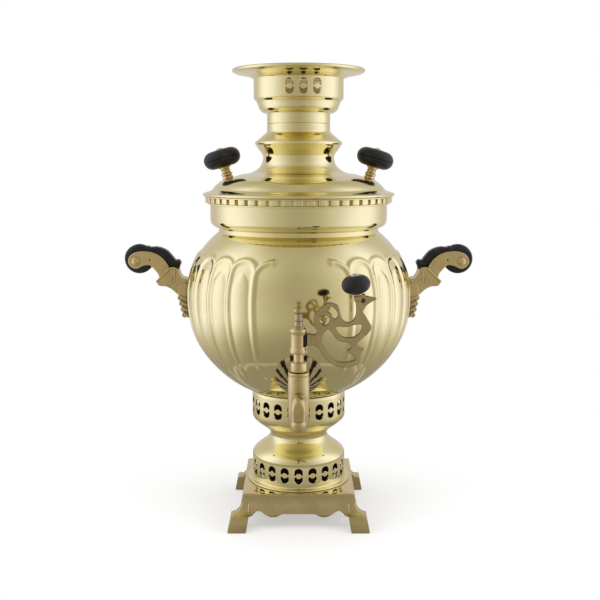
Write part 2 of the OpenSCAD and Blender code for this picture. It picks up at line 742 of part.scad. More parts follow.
cheek_outline = [[19.3, 28.6], [21.2, 32.9], [24.6, 37.5], [30.1, 42], [36.1, 44.6], [42.1, 45.6],
    [49.1, 45.8], [55.2, 44.3], [59.8, 41], [61.9, 37], [61.7, 32.9], [58.6, 28.9], [54.6, 27.2],
    [51.1, 27.9], [47.5, 29.7], [43.4, 30.9], [39.4, 30.9], [37.4, 29.4], [33.5, 25.3], [31, 21.8],
    [28.6, 17], [24.4, 20]];
root_outline = [[0.4, 13.6], [7.4, 16.7], [11.9, 16.2], [12.1, 28.9], [19.3, 28.6], [25.5, 21.6],
    [30.9, 15], [32, 11.4], [28.8, 9], [22.7, 8.5], [16.7, 5.5], [10.8, 0.3], [7, -3], [5.5, -9],
    [4.2, -15], [2.6, -22], [-5.5, -23], [-7.5, 13.6]];
grip_outline = [[44, 49.5], [38.8, 49.6], [32.7, 50], [25.7, 48], [20.7, 45], [16.8, 40.6],
    [13, 36], [10.4, 36.5], [8, 34.8], [7.4, 32.4], [8.9, 28.9], [8.2, 25.2], [6.3, 22.2],
    [3.6, 19.4], [1.6, 17.8], [1.8, 15.6], [4.5, 16.6], [8.6, 18], [10.2, 21.8], [11.6, 27.6],
    [12.6, 29.4], [19.5, 29.2], [24, 33], [28.5, 36.5], [33, 34.5], [40.5, 32.4], [48.5, 31]];
grip_seam = 0.15;       // between the grip's tongue and the root

module in_handle_plane(t) {
    translate([globe_r, t / 2, globe_z]) rotate([90, 0, 0]) linear_extrude(t) children();
}

module at_handle_screws() {
    for (a = screw_angles) {
        p = globe_point(a);
        translate([p[0], 0, p[1]]) rotate([0, 90, 0]) children();
    }
}

module on_bolt(y) {
    translate([globe_r + scroll_at[0], y, globe_z + scroll_at[1]]) rotate([90, 0, 0]) children();
}

module handle_bracket() {
    difference() {
        union() {
            for (s = [-1, 1]) translate([0, s * (fork_gap + cheek_t) / 2, 0])
                in_handle_plane(cheek_t) polygon(smooth(cheek_outline, 3));
            // solid root, kept clear of the grip
            difference() {
                in_handle_plane(bracket_t + 1.2) polygon(root_outline);
                in_handle_plane(fork_gap) offset(grip_seam) polygon(grip_outline);
            }
            // foot on the globe with turned ribs across it
            intersection() {
                in_handle_plane(handle_foot_t) polygon(root_outline);
                translate([globe_r - 7.5, -handle_foot_t / 2, globe_z - 22])
                    cube([17, handle_foot_t, 32]);
            }
            for (i = [0:3]) translate([globe_r + 7.6 - i * 1.4, 0, globe_z - 3.1 - i * 2.1 * rib_r])
                rotate([90, 0, 0]) cylinder(handle_foot_t + 1, r = rib_r, center = true);
        }
        globe_cutter(solder_gap);
        at_handle_screws() translate([0, 0, -10])
            cylinder(10 + handle_screw_l + 0.6, r = handle_screw_r + run_gap);
        on_bolt(bracket_t) cylinder(2 * bracket_t, r = handle_bolt_r + run_gap);
    }
}

module handle_grip() difference() {
    union() {
        in_handle_plane(grip_t) polygon(grip_outline);
        in_handle_plane(grip_t) translate(roll_at) circle(grip_roll_r);
    }
    on_bolt(bracket_t) cylinder(2 * bracket_t, r = handle_bolt_r + run_gap);
}

module handle_bolt() {
    on_bolt(bracket_t / 2) cylinder(bracket_t, r = handle_bolt_r);
    for (a = [0, 180]) on_bolt(0) rotate([a, 0, 0]) translate([0, 0, bracket_t / 2])
        intersection() {
            translate([0, 0, bolt_head_h - bolt_dome_r]) sphere(bolt_dome_r);
            cylinder(bolt_head_h, r = bolt_head_r);
        }
}

screw_head_h = 2.4;
handle_washer_t = 3;
module handle_washers() at_handle_screws() {
    translate([0, 0, -handle_washer_t]) difference() {
        cylinder(handle_washer_t, r = handle_screw_r + 3);
        translate([0, 0, -cut]) cylinder(handle_washer_t + 2 * cut, r = handle_screw_r + run_gap);
    }
}

module inside_washers() difference() {
    handle_washers();
    difference() {
        translate([globe_r - 30, -20, globe_z - 40]) cube([60, 40, 70]);
        globe_cutter(-sheet - solder_gap);
    }
}

module handle_screws() at_handle_screws() {
    translate([0, 0, -handle_washer_t])
        cylinder(handle_washer_t + handle_screw_l, r = handle_screw_r);
    translate([0, 0, -handle_washer_t - screw_head_h])
        cylinder(screw_head_h, r = handle_screw_r + 2);
}

// Both sides are alike, so the left one is the right one turned half round
module left_side() { rotate([0, 0, 180]) children(); }
module right_handle_bracket() color(cast_brass) handle_bracket();
module left_handle_bracket() color(cast_brass) left_side() handle_bracket();
module right_handle_grip() color(black) handle_grip();
module left_handle_grip() color(black) left_side() handle_grip();
module right_handle_bolt() color(brass) handle_bolt();
module left_handle_bolt() color(brass) left_side() handle_bolt();
module right_handle_screws() color(steel) handle_screws();
module left_handle_screws() color(steel) left_side() handle_screws();
module right_handle_washers() color(steel) inside_washers();
module left_handle_washers() color(steel) left_side() inside_washers();

// ---- lid ------------------------------------------------------------------

lid_z = rim_z + lift_gap;
lid_bead = 1.6;                 // rolled edge of the flange
lid_cover = 3;                  // least cover of the flange over the collar's rim
flange_out_r = max(lid_r, collar_r + lid_cover);
shoulder_r = flange_out_r - 20.6;
cone_in_r = 58.7;
shoulder_h = 16.4;
cone_h = 22.6;
waist_h = 39;
bead_h = 54.4;
neck_h = 68;
lid_neck_r = tube_r + sheet + 0.8;
cone_slope = atan((cone_h - shoulder_h) / (shoulder_r - cone_in_r));
lid_neck_z = lid_z + lid_h;

function raised(p, dz) = [for (q = p) [q[0], q[1] + dz]];

lid_path = raised(concat(
    [[flange_out_r - lid_bead, sheet + 0.2], [flange_out_r - 3, 3.8], [flange_out_r - 7, 4.9]],
    [[shoulder_r + 10.6, 6.5], [shoulder_r + 9.2, 8.3], [shoulder_r + 7.6, 10.3],
     [shoulder_r + 5.4, 12.4], [shoulder_r + 2.8, 14.6], [shoulder_r, shoulder_h],
     [cone_in_r, cone_h]],
    arc(cone_in_r, waist_h, cone_in_r - lid_waist_r, waist_h - cone_h, 262, 180, 7),
    [[lid_waist_r + 1, 43.3], [lid_bead_r - 4, 47.6], [lid_bead_r - 1.8, 50.8]],
    arc(lid_bead_r - 2.9, bead_h - 0.2, 2.9, 2.7, -50, 75, 5),
    [[40.6, 59.2], [37.6, 61.8]],
    arc(36.4 + lid_neck_r - 32.8, neck_h, 3.6, 4.4, 250, 180, 4), [[lid_neck_r, lid_h]]), lid_z);

lid_skirt_h = 8;

// Places a child on the lid's cone, square to it, on the +X side
module on_lid_cone(up = 0) {
    z = lid_z + shoulder_h + (shoulder_r - lid_knob_at) * tan(cone_slope);
    translate([lid_knob_at, 0, z]) rotate([0, cone_slope, 0]) translate([0, 0, up]) children();
}

stem_bore = 2.5;
module lid() color(brass) difference() {
    union() {
        spun(lid_path);
        // flat flange with a rolled edge, and the spigot ring below it
        translate([0, 0, lid_z]) rotate_extrude() {
            translate([collar_r - sheet - spigot_gap - sheet, 0])
                square([flange_out_r - lid_bead - collar_r + 2 * sheet + spigot_gap, sheet + 0.3]);
            translate([flange_out_r - lid_bead, lid_bead]) circle(lid_bead);
        }
        translate([0, 0, lid_z - lid_skirt_h]) rotate_extrude()
            translate([collar_r - 2 * sheet - spigot_gap, 0]) square([sheet, lid_skirt_h + sheet]);
    }
    for (a = [0, 180]) rotate([0, 0, a]) on_lid_cone(-8) cylinder(16, r = stem_bore + run_gap);
}

knob_up = lid_stem_h;
stem_tail = 8;          // threaded tail under the lid
module lid_stem() on_lid_cone(solder_gap) difference() {
    rotate_extrude() polygon([[0, -stem_tail], [stem_bore, -stem_tail], [stem_bore, 0], [5.8, 0],
        [5.9, 1.2], [5.2, 2.6], [4.7, 3.2], [6.1, 3.8], [6.2, 5.2], [4.8, 5.9], [4.4, 6.6],
        [4.4, 7.4], [5, 7.8], [5, 8.8], [4.3, 9.3], [4.4, lid_stem_h - 2.2], [6.6, lid_stem_h - 0.4],
        [6.6, lid_stem_h], [0, lid_stem_h]]);
    translate([0, 0, lid_stem_h - 9]) cylinder(9 + cut, r = small_screw_r + run_gap);
}

module lid_knob() on_lid_cone(knob_up + 2 * solder_gap)
    turned_knob(lid_knob_r, lid_knob_t, small_screw_r + run_gap, 0.5);

module lid_knob_screw() on_lid_cone(knob_up + 3 * solder_gap) {
    translate([0, 0, -8]) cylinder(8 + lid_knob_t, r = small_screw_r);
    translate([0, 0, lid_knob_t]) intersection() {
        translate([0, 0, 1.8 - 7.5]) sphere(7.5);
        cylinder(3, r = 4.8);
    }
}

module lid_stem_nut() on_lid_cone(-sheet - 3 - 0.1) difference() {
    linear_extrude(3) circle(5, $fn = 6);
    translate([0, 0, -cut]) cylinder(3 + 2 * cut, r = stem_bore + run_gap);
}

module right_lid_stem() color(bronze) lid_stem();
module left_lid_stem() color(bronze) left_side() lid_stem();
module right_lid_knob() color(black) lid_knob();
module left_lid_knob() color(black) left_side() lid_knob();
module right_lid_knob_screw() color(brass) lid_knob_screw();
module left_lid_knob_screw() color(brass) left_side() lid_knob_screw();
module right_lid_stem_nut() color(steel) lid_stem_nut();
module left_lid_stem_nut() color(steel) left_side() lid_stem_nut();

// ---- crown ----------------------------------------------------------------

crown_z = lid_neck_z + lift_gap;
cup_z = crown_z + crown_neck_h + 16.2;      // foot of the pierced wall
crown_top_z = cup_z + crown_wall_h;
crown_bead = 1.8;                           // rolled edge of the rim
crown_hole_h = 15.6;
crown_hole_step = 17.6;                     // degrees between figures in a group
crown_groups = 3;
crown_turn = 6;                             // degrees from the front to the first group

crown_path = concat(
    [[lid_neck_r, crown_z], [lid_neck_r, crown_z + crown_neck_h]],
    arc(lid_neck_r, crown_z + crown_neck_h + 10, 9.4, 10, -80, -10, 5),
    [[crown_r - 2.8, cup_z - 4], [crown_r - 0.8, cup_z - 2], [crown_r, cup_z],
     [crown_r, crown_top_z], [crown_r + 2.2, crown_top_z + 2], [crown_r + 7.2, crown_top_z + 3.9],
     [crown_rim_r - 3, crown_top_z + 6.2], [crown_rim_r - 1.6, crown_top_z + 7.6]]);

module crown() color(brass) difference() {
    union() {
        spun(crown_path);
        translate([0, 0, crown_top_z + 9]) rotate_extrude() translate([crown_rim_r - crown_bead, 0])
            circle(crown_bead);
        // skirt that centres the crown in the fire tube
        skirt_r = tube_r - sheet - spigot_gap;
        translate([0, 0, crown_z - crown_skirt_h]) rotate_extrude() translate([skirt_r - sheet, 0])
            square([sheet, crown_skirt_h + sheet]);
        translate([0, 0, crown_z]) rotate_extrude() translate([skirt_r - sheet / 2, 0])
            square([lid_neck_r - skirt_r, sheet]);
    }
    for (g = [0:crown_groups - 1]) for (k = [-1:1])
        pierce(crown_r, crown_turn + g * 360 / crown_groups + k * crown_hole_step,
            cup_z + crown_wall_h / 2, hole_w, crown_hole_h);
}

base_stand();
base_screws();
pedestal();
vessel_shell();
collar_ring();
fire_tube();
fire_grate();
tap_escutcheon();
tap_body();
tap_seat();
tap_gasket();
tap_nut();
left_handle_bracket();
right_handle_bracket();
left_handle_grip();
right_handle_grip();
left_handle_bolt();
right_handle_bolt();
left_handle_screws();
right_handle_screws();
left_handle_washers();
right_handle_washers();
tap_plug();
plug_washer();
plug_screw();
key_sleeve();
key_finial();
key_plate();
key_knob_collar();
key_knob();
key_knob_screw();
lid();
left_lid_stem();
right_lid_stem();
left_lid_knob();
right_lid_knob();
left_lid_knob_screw();
right_lid_knob_screw();
left_lid_stem_nut();
right_lid_stem_nut();
crown();
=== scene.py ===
import math

import bmesh
import bpy
from mathutils import Matrix, Vector
from mathutils.geometry import delaunay_2d_cdt


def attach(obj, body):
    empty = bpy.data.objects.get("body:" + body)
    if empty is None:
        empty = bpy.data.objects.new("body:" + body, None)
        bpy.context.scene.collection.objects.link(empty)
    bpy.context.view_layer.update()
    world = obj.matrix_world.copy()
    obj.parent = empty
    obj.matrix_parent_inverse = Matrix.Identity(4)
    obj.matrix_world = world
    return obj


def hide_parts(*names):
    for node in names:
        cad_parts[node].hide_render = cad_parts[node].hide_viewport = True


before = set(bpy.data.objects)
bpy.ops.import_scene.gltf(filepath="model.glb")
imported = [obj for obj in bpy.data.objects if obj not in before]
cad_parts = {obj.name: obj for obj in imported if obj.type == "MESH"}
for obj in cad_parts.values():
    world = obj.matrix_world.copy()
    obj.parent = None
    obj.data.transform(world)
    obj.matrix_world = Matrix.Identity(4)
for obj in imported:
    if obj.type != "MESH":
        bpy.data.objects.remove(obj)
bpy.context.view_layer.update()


# ---- Studio -----------------------------------------------------------------
# A pale table in a white room, with a soft lamp at each side and one overhead.
# Polished metal mirrors a dome in their place, with a wide soft box at each side
# and calmer tones between. None of this belongs to the samovar.

def add_node(tree, kind, inputs=(), **settings):
    """A shader node with its sockets set or linked."""
    node = tree.nodes.new("ShaderNode" + kind)
    for name, value in settings.items():
        setattr(node, name, value)
    for name, value in dict(inputs).items():
        if isinstance(value, bpy.types.NodeSocket):
            tree.links.new(value, node.inputs[name])
        else:
            node.inputs[name].default_value = value
    return node


def shown_room_mask(tree):
    """1 for rays that show the room: straight to the camera, mirrored or refracted."""
    light_path = add_node(tree, "LightPath")
    either = add_node(tree, "Math", {0: light_path.outputs["Is Camera Ray"],
                                     1: light_path.outputs["Is Glossy Ray"]}, operation="MAXIMUM")
    return add_node(tree, "Math", {0: either.outputs[0],
                                   1: light_path.outputs["Is Transmission Ray"]},
                    operation="MAXIMUM").outputs[0]


ROOM_LIGHT = 0.6
world = bpy.data.worlds.new("white room")
world.use_nodes = True
room = world.node_tree
room_strength = add_node(room, "MapRange", {"Value": shown_room_mask(room),
                                            "To Min": ROOM_LIGHT, "To Max": 1.0})
room.links.new(room_strength.outputs[0], room.nodes["Background"].inputs["Strength"])
room.nodes["Background"].inputs["Color"].default_value = (1.0, 1.0, 1.0, 1.0)
bpy.context.scene.world = world

# The table keeps the samovar's shadow and turns to the room's white further out
TABLE_HALF, TABLE_DOWN = 4.0, 0.0003        # it lies a hair below the feet
SHADOW_R, WHITE_R, SHADOW_LEFT = 0.08, 0.30, 0.55
table_mesh = bpy.data.meshes.new("table")
table_mesh.from_pydata([(-TABLE_HALF, -TABLE_HALF, 0), (TABLE_HALF, -TABLE_HALF, 0),
                        (TABLE_HALF, TABLE_HALF, 0), (-TABLE_HALF, TABLE_HALF, 0)], [], [(0, 1, 2, 3)])
table = bpy.data.objects.new("table", table_mesh)
table.location.z = -TABLE_DOWN
bpy.context.scene.collection.objects.link(table)
table_paint = bpy.data.materials.new("pale table")
table_paint.use_nodes = True
paint = table_paint.node_tree
painted = paint.nodes["Principled BSDF"]
painted.inputs["Base Color"].default_value = (0.96, 0.96, 0.955, 1)
painted.inputs["Roughness"].default_value = 0.85
painted.inputs["Specular IOR Level"].default_value = 0.1
from_middle = add_node(paint, "VectorMath", {0: add_node(paint, "TexCoord").outputs["Object"]},
                       operation="LENGTH")
far = add_node(paint, "MapRange", {"Value": from_middle.outputs["Value"], "From Min": SHADOW_R,
                                   "From Max": WHITE_R, "To Min": 1 - SHADOW_LEFT},
               interpolation_type="SMOOTHSTEP")
far_seen = add_node(paint, "Math", {0: far.outputs[0], 1: shown_room_mask(paint)}, operation="MULTIPLY")
white = add_node(paint, "Emission")
ground = add_node(paint, "MixShader", {0: far_seen.outputs[0], 1: painted.outputs[0], 2: white.outputs[0]})
paint.links.new(ground.outputs[0], paint.nodes["Material Output"].inputs["Surface"])
table_mesh.materials.append(table_paint)


def ramp(x, low, high):
    """0 below low, 1 above high, smooth between."""
    t = max(0.0, min(1.0, (x - low) / (high - low)))
    return t * t * (3 - 2 * t)


def room_tone(azimuth, soft_box, calm):
    """Colour that polished metal sees: a wide soft box at each side, greyer between them."""
    past = abs(azimuth) - SOFT_BOX_AT
    from_box = past / (SOFT_BOX_BEHIND if past > 0 else SOFT_BOX_WIDTH)
    tone = calm + (SOFT_BOX_TONE - calm) * soft_box * math.exp(-from_box ** 2)
    cool = ramp(tone, 0.45, 1.1)
    return (tone, tone * (0.93 + 0.07 * cool), tone * (0.86 + 0.42 * cool), 1.0)


SOFT_BOX_AT, SOFT_BOX_WIDTH, SOFT_BOX_BEHIND, SOFT_BOX_TONE = 95, 52, 26, 1.25    # degrees from the tap
FRONT_TONE, BACK_TONE, TOP_TONE = 0.44, 0.68, 0.52
SHADED_TONE, KERB_TONE = 0.33, 0.62
SURROUND_R, SURROUND_MIDDLE = 1.75, 0.24
FLOOR_Z, KERB_R, KERB_TOP = 0.0001, 0.1715, 0.022


def wrapped(columns, count):
    """Faces between columns of points that go round an axis, count points to a column."""
    faces = []
    for k in range(columns):
        near, far = k * count, (k + 1) % columns * count
        faces += [(near + i, far + i, far + i + 1, near + i + 1) for i in range(count - 1)]
    return faces


def round_axis(r, z, turn):
    """A place at a radius and a height, turned by an angle from the front."""
    return r * math.sin(turn), -r * math.cos(turn), z


def surround():
    """The room as mirrors see it: a dome, a floor and a low kerb that only glossy rays meet."""
    rings = []
    for r, z, kerb in ([(0.05 * 1.28 ** k, FLOOR_Z, 0.0) for k in range(5)]
                       + [(KERB_R - 0.0115, FLOOR_Z, 0.0), (KERB_R - 0.001, FLOOR_Z, 0.35),
                          (KERB_R, KERB_TOP, 1.0), (KERB_R + 0.0045, FLOOR_Z, 0.0)]
                       + [(0.21 * 1.194 ** k, FLOOR_Z, 0.0) for k in range(12)]
                       + [(SURROUND_R, FLOOR_Z, 0.0)]):
        rings.append((r, z, ramp(r, 0.08, 0.85), ramp(r, 0.2, 0.7), 0.0, kerb))
    start = math.degrees(math.asin(-SURROUND_MIDDLE / SURROUND_R))
    for k in range(1, 22):
        up = start + (90 - start) * k / 21
        rings.append((SURROUND_R * math.cos(math.radians(up)) + 1e-4,
                      SURROUND_MIDDLE + SURROUND_R * math.sin(math.radians(up)),
                      1 - ramp(up, 38, 78), 1.0, ramp(up, 25, 60), 0.0))
    columns, verts, tones = 72, [], []
    for i in range(columns):
        azimuth = 360 * i / columns
        azimuth -= 360 if azimuth > 180 else 0
        a = math.radians(azimuth)
        calm = FRONT_TONE + (BACK_TONE - FRONT_TONE) * (1 - math.cos(a)) / 2
        for r, z, soft_box, lit, top, kerb in rings:
            tone = (SHADED_TONE + (calm - SHADED_TONE) * lit) * (1 - top) + TOP_TONE * top
            tone += (KERB_TONE - tone) * kerb
            verts.append(round_axis(r, z, a))
            tones.append(room_tone(azimuth, soft_box, tone))
    mesh = bpy.data.meshes.new("surround")
    mesh.from_pydata(verts, [], wrapped(columns, len(rings)))
    colours = mesh.color_attributes.new("tone", "FLOAT_COLOR", "POINT")
    for i, tone in enumerate(tones):
        colours.data[i].color = tone
    glow = bpy.data.materials.new("surround")
    glow.use_nodes = True
    tree = glow.node_tree
    tree.nodes.clear()
    stored = add_node(tree, "Attribute", attribute_name="tone")
    light = add_node(tree, "Emission", {"Color": stored.outputs[0]})
    tree.links.new(light.outputs[0], add_node(tree, "OutputMaterial").inputs[0])
    mesh.materials.append(glow)
    dome = bpy.data.objects.new("surround", mesh)
    bpy.context.scene.collection.objects.link(dome)
    dome.visible_camera = dome.visible_diffuse = dome.visible_shadow = dome.visible_transmission = False


surround()


def soft_lamp(name, place, size, watts):
    """A soft box that faces the samovar's middle; the surround stands for it in mirrors."""
    light = bpy.data.lights.new(name, "AREA")
    light.shape = "RECTANGLE"
    light.size, light.size_y = size
    light.energy = watts
    lamp = bpy.data.objects.new(name, light)
    lamp.location = place
    lamp.rotation_euler = (LAMP_TARGET - Vector(place)).to_track_quat("-Z", "Y").to_euler()
    bpy.context.scene.collection.objects.link(lamp)
    lamp.visible_glossy = False


LAMP_TARGET = Vector((0, 0, 0.22))
soft_lamp("left soft box", (-1.3, -0.6, 0.8), (0.9, 1.1), 8.5)
soft_lamp("right soft box", (1.3, -0.5, 0.8), (0.9, 1.1), 7.5)
soft_lamp("top soft box", (0, -0.3, 1.6), (1.4, 1.4), 13)

CAMERA_DISTANCE, CAMERA_PITCH, CAMERA_AIM = 0.98975, math.radians(8.6), 0.232
CAMERA_FOCAL, SENSOR, CAMERA_SHIFT = 55.5, 36.0, 0.0023
eye = bpy.data.cameras.new("camera")
eye.lens, eye.sensor_width, eye.shift_x = CAMERA_FOCAL, SENSOR, CAMERA_SHIFT
camera = bpy.data.objects.new("camera", eye)
camera.location = (0, -CAMERA_DISTANCE * math.cos(CAMERA_PITCH),
                   CAMERA_AIM + CAMERA_DISTANCE * math.sin(CAMERA_PITCH))
camera.rotation_euler = (math.pi / 2 - CAMERA_PITCH, 0, 0)
bpy.context.scene.collection.objects.link(camera)
bpy.context.scene.camera = camera
bpy.context.scene.view_settings.view_transform = "Standard"


# ---- Stand ------------------------------------------------------------------
# One sand casting in brass: a square plate with coved sides, a scalloped apron
# and four block feet, filed flat and tumbled to a satin skin. Screws from below
# hold the pedestal on it.

MM = 0.001


def new_group(name, inputs, outputs):
    """An empty shader node group with named sockets."""
    tree = bpy.data.node_groups.new(name, "ShaderNodeTree")
    for label, kind, value in inputs:
        socket = tree.interface.new_socket(label, in_out="INPUT", socket_type="NodeSocket" + kind)
        socket.default_value = value
    for label, kind in outputs:
        tree.interface.new_socket(label, in_out="OUTPUT", socket_type="NodeSocket" + kind)
    return tree, tree.nodes.new("NodeGroupInput").outputs, tree.nodes.new("NodeGroupOutput").inputs


def place_group(tree, group, **values):
    """A node group placed in a material, with its inputs set."""
    node = tree.nodes.new("ShaderNodeGroup")
    node.node_tree = group
    for name, value in values.items():
        node.inputs[name.replace("_", " ")].default_value = value
    return node


# Grain of a cast and tumbled face, with grime in random patches and painted shade in its hollows
cast_skin, given, gives = new_group(
    "cast skin",
    [("Metal", "Color", (0.6, 0.5, 0.3, 1)), ("Grime", "Color", (0.2, 0.15, 0.08, 1)),
     ("Grime share", "Float", 0.6), ("Reach", "Float", 0.004), ("Grain", "Float", 900.0),
     ("Smooth", "Float", 0.3), ("Dull", "Float", 0.5)],
    [("Colour", "Color"), ("Roughness", "Float"), ("Height", "Float")])
place = add_node(cast_skin, "TexCoord").outputs["Object"]
grain = add_node(cast_skin, "TexNoise", {"Vector": place, "Scale": given["Grain"], "Detail": 4.0})
lumps = add_node(cast_skin, "TexNoise", {"Vector": place, "Scale": 120.0, "Detail": 3.0})
cloud = add_node(cast_skin, "TexNoise", {"Vector": place, "Scale": 45.0, "Detail": 5.0, "Roughness": 0.65})
# Painted shade: the dark grime colour also fills every hollow that ambient occlusion finds
hollow = add_node(cast_skin, "AmbientOcclusion", {"Distance": given["Reach"]}, samples=8)
hollow_shade = add_node(cast_skin, "MapRange", {"Value": hollow.outputs["AO"], "From Min": 0.35, "From Max": 0.85,
                                        "To Min": 1.0, "To Max": 0.0})
patch = add_node(cast_skin, "MapRange", {"Value": cloud.outputs["Fac"], "From Min": 0.45, "From Max": 0.75,
                                         "To Max": 0.3})
both = add_node(cast_skin, "Math", {0: hollow_shade.outputs[0], 1: patch.outputs[0]}, operation="MAXIMUM")
share = add_node(cast_skin, "Math", {0: both.outputs[0], 1: given["Grime share"]}, operation="MULTIPLY")
mixed = add_node(cast_skin, "Mix", {0: share.outputs[0], 6: given["Metal"], 7: given["Grime"]},
                 data_type="RGBA")
rough = add_node(cast_skin, "MapRange", {"Value": cloud.outputs["Fac"], "From Min": 0.35, "From Max": 0.7,
                                         "To Min": given["Smooth"], "To Max": given["Dull"]})
bumps = add_node(cast_skin, "Math", {0: lumps.outputs["Fac"], 1: 2.0}, operation="MULTIPLY")
height = add_node(cast_skin, "Math", {0: bumps.outputs[0], 1: grain.outputs["Fac"]}, operation="ADD")
cast_skin.links.new(mixed.outputs[2], gives["Colour"])
cast_skin.links.new(rough.outputs[0], gives["Roughness"])
cast_skin.links.new(height.outputs[0], gives["Height"])


def skinned_metal(name, group, bump_strength, bump_depth, metallic=1.0, **values):
    """A material whose colour, roughness and relief come from one skin group."""
    made = bpy.data.materials.new(name)
    made.use_nodes = True
    tree = made.node_tree
    shader = tree.nodes["Principled BSDF"]
    skin = place_group(tree, group, **values)
    relief = add_node(tree, "Bump", {"Strength": bump_strength, "Distance": bump_depth,
                                     "Height": skin.outputs["Height"]})
    tree.links.new(skin.outputs["Colour"], shader.inputs["Base Color"])
    tree.links.new(skin.outputs["Roughness"], shader.inputs["Roughness"])
    tree.links.new(relief.outputs[0], shader.inputs["Normal"])
    shader.inputs["Metallic"].default_value = metallic
    return made


satin_cast_brass = skinned_metal("satin cast brass", cast_skin, 0.12, 0.0004,
                                 Metal=(0.60, 0.49, 0.23, 1), Grime=(0.16, 0.11, 0.05, 1),
                                 Grime_share=0.75, Reach=0.004, Grain=1400.0, Smooth=0.16, Dull=0.30)
top_cast_brass = skinned_metal("top cast brass", cast_skin, 0.05, 0.0002,
                                 Metal=(0.74, 0.61, 0.29, 1), Grime=(0.16, 0.11, 0.05, 1),
                                 Grime_share=0.85, Reach=0.003, Grain=1400.0, Smooth=0.07, Dull=0.16)
soot = skinned_metal("soot", cast_skin, 0.2, 0.0004, metallic=0.0, Metal=(0.030, 0.022, 0.012, 1),
                     Grime=(0.012, 0.009, 0.006, 1), Grime_share=0.8, Reach=0.01, Grain=600.0,
                     Smooth=0.7, Dull=0.95)
soot.node_tree.nodes["Principled BSDF"].inputs["Specular IOR Level"].default_value = 0.1
steel = skinned_metal("plain steel", cast_skin, 0.05, 0.0002, Metal=(0.58, 0.60, 0.63, 1),
                      Grime=(0.22, 0.21, 0.20, 1), Grime_share=0.5, Reach=0.002, Grain=2500.0,
                      Smooth=0.22, Dull=0.36)


def solid(name, shapes, material, body, nodes, sharp=38, weighted=False, areas=()):
    """One piece from shapes in millimetres; areas are pairs of another material and a test of faces."""
    build = bmesh.new()
    for verts, faces in shapes:
        made = [build.verts.new((x * MM, y * MM, z * MM)) for x, y, z in verts]
        for face in faces:
            try:
                build.faces.new([made[i] for i in face])
            except ValueError:
                pass
        bmesh.ops.remove_doubles(build, verts=made, dist=0.002 * MM)
    bmesh.ops.dissolve_degenerate(build, edges=build.edges, dist=0.001 * MM)
    bmesh.ops.recalc_face_normals(build, faces=build.faces)
    mesh = bpy.data.meshes.new(name)
    build.to_mesh(mesh)
    build.free()
    mesh.shade_smooth()
    mesh.set_sharp_from_angle(angle=math.radians(sharp))
    mesh.materials.append(material)
    for k, (other, test) in enumerate(areas):
        mesh.materials.append(other)
        for face in mesh.polygons:
            if test(face.normal, face.center / MM):
                face.material_index = k + 1
    piece = bpy.data.objects.new(name, mesh)
    bpy.context.scene.collection.objects.link(piece)
    if weighted:
        piece.modifiers.new("flat faces", "WEIGHTED_NORMAL").keep_sharp = True
    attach(piece, body)
    if nodes:
        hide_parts(*nodes)


def dress(names, material):
    """Gives solids of the frame that keep their shape a finished surface."""
    for name in names:
        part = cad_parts[name]
        part.data.materials.clear()
        part.data.materials.append(material)


def arc(cx, cz, rx, rz, start, end, steps=8):
    """Points on an arc of an ellipse, between two angles in degrees."""
    turns = [math.radians(start + (end - start) * i / steps) for i in range(steps + 1)]
    return [(cx + rx * math.cos(t), cz + rz * math.sin(t)) for t in turns]


def soften(points, radius, steps=3, closed=True):
    """An outline with its corners rounded."""
    out = []
    for i, point in enumerate(points):
        if not closed and i in (0, len(points) - 1):
            out.append(tuple(point))
            continue
        here = Vector(point)
        back, ahead = Vector(points[i - 1]) - here, Vector(points[(i + 1) % len(points)]) - here
        reach = min(radius, back.length * 0.45, ahead.length * 0.45)
        a, b = here + back.normalized() * reach, here + ahead.normalized() * reach
        for k in range(steps + 1):
            t = k / steps
            out.append(tuple(a * (1 - t) ** 2 + here * 2 * t * (1 - t) + b * t * t))
    return out


STAND_SIDE = 58.5           # half side of the top plate
STAND_FLARE = 5.0
STAND_HEIGHT = 37.0
STAND_WALL = 4.0
APRON = 16.0                # height of the apron's edge
FOOT_OUT, FOOT_IN, FOOT_LEAN = 73.5, 54.5, 2.9
LOBE_AT, LOBE_DROP, ARCH_AT, ARCH_RISE = 26.4, 3.4, 44.4, 3.0
ARCH_END, ARCH_FALL = 52.0, 5.5
STAND_EDGE, STAND_CORNER = 0.8, 1.8         # rounding of the plate's edge and of its corners
SOOT_R, SOOT_HALF = 46.0, 34.0              # the sooty middle of the plate, a square with cut corners


def stand_half(z):
    """Half width of the coved side at a height."""
    drop = max(0.0, min(1.0, (STAND_HEIGHT - z) / (STAND_HEIGHT - APRON)))
    return STAND_SIDE + STAND_FLARE - STAND_FLARE * math.sqrt(1 - (0.94 * drop) ** 2)


def apron_edge(x):
    """Height of the apron's lower edge, across one side."""
    x = abs(x)
    if x > ARCH_END:
        return APRON - 3.0
    if x > ARCH_AT:
        return APRON + ARCH_RISE - ARCH_FALL * ((x - ARCH_AT) / (ARCH_END - ARCH_AT)) ** 2
    if x > LOBE_AT:
        return APRON - LOBE_DROP + (LOBE_DROP + ARCH_RISE) * ramp(x, LOBE_AT + 2, ARCH_AT)
    return APRON - LOBE_DROP * ramp(x, LOBE_AT - 10, LOBE_AT - 1)


def corner_rounded(x, d):
    """A place on one side of a square, taken round the square's corner."""
    start = d - STAND_CORNER
    if d < 40 or abs(x) <= start:
        return x, -d
    a = math.pi / 4 * (abs(x) - start) / STAND_CORNER
    return math.copysign(start + STAND_CORNER * math.sin(a), x), -(start + STAND_CORNER * math.cos(a))


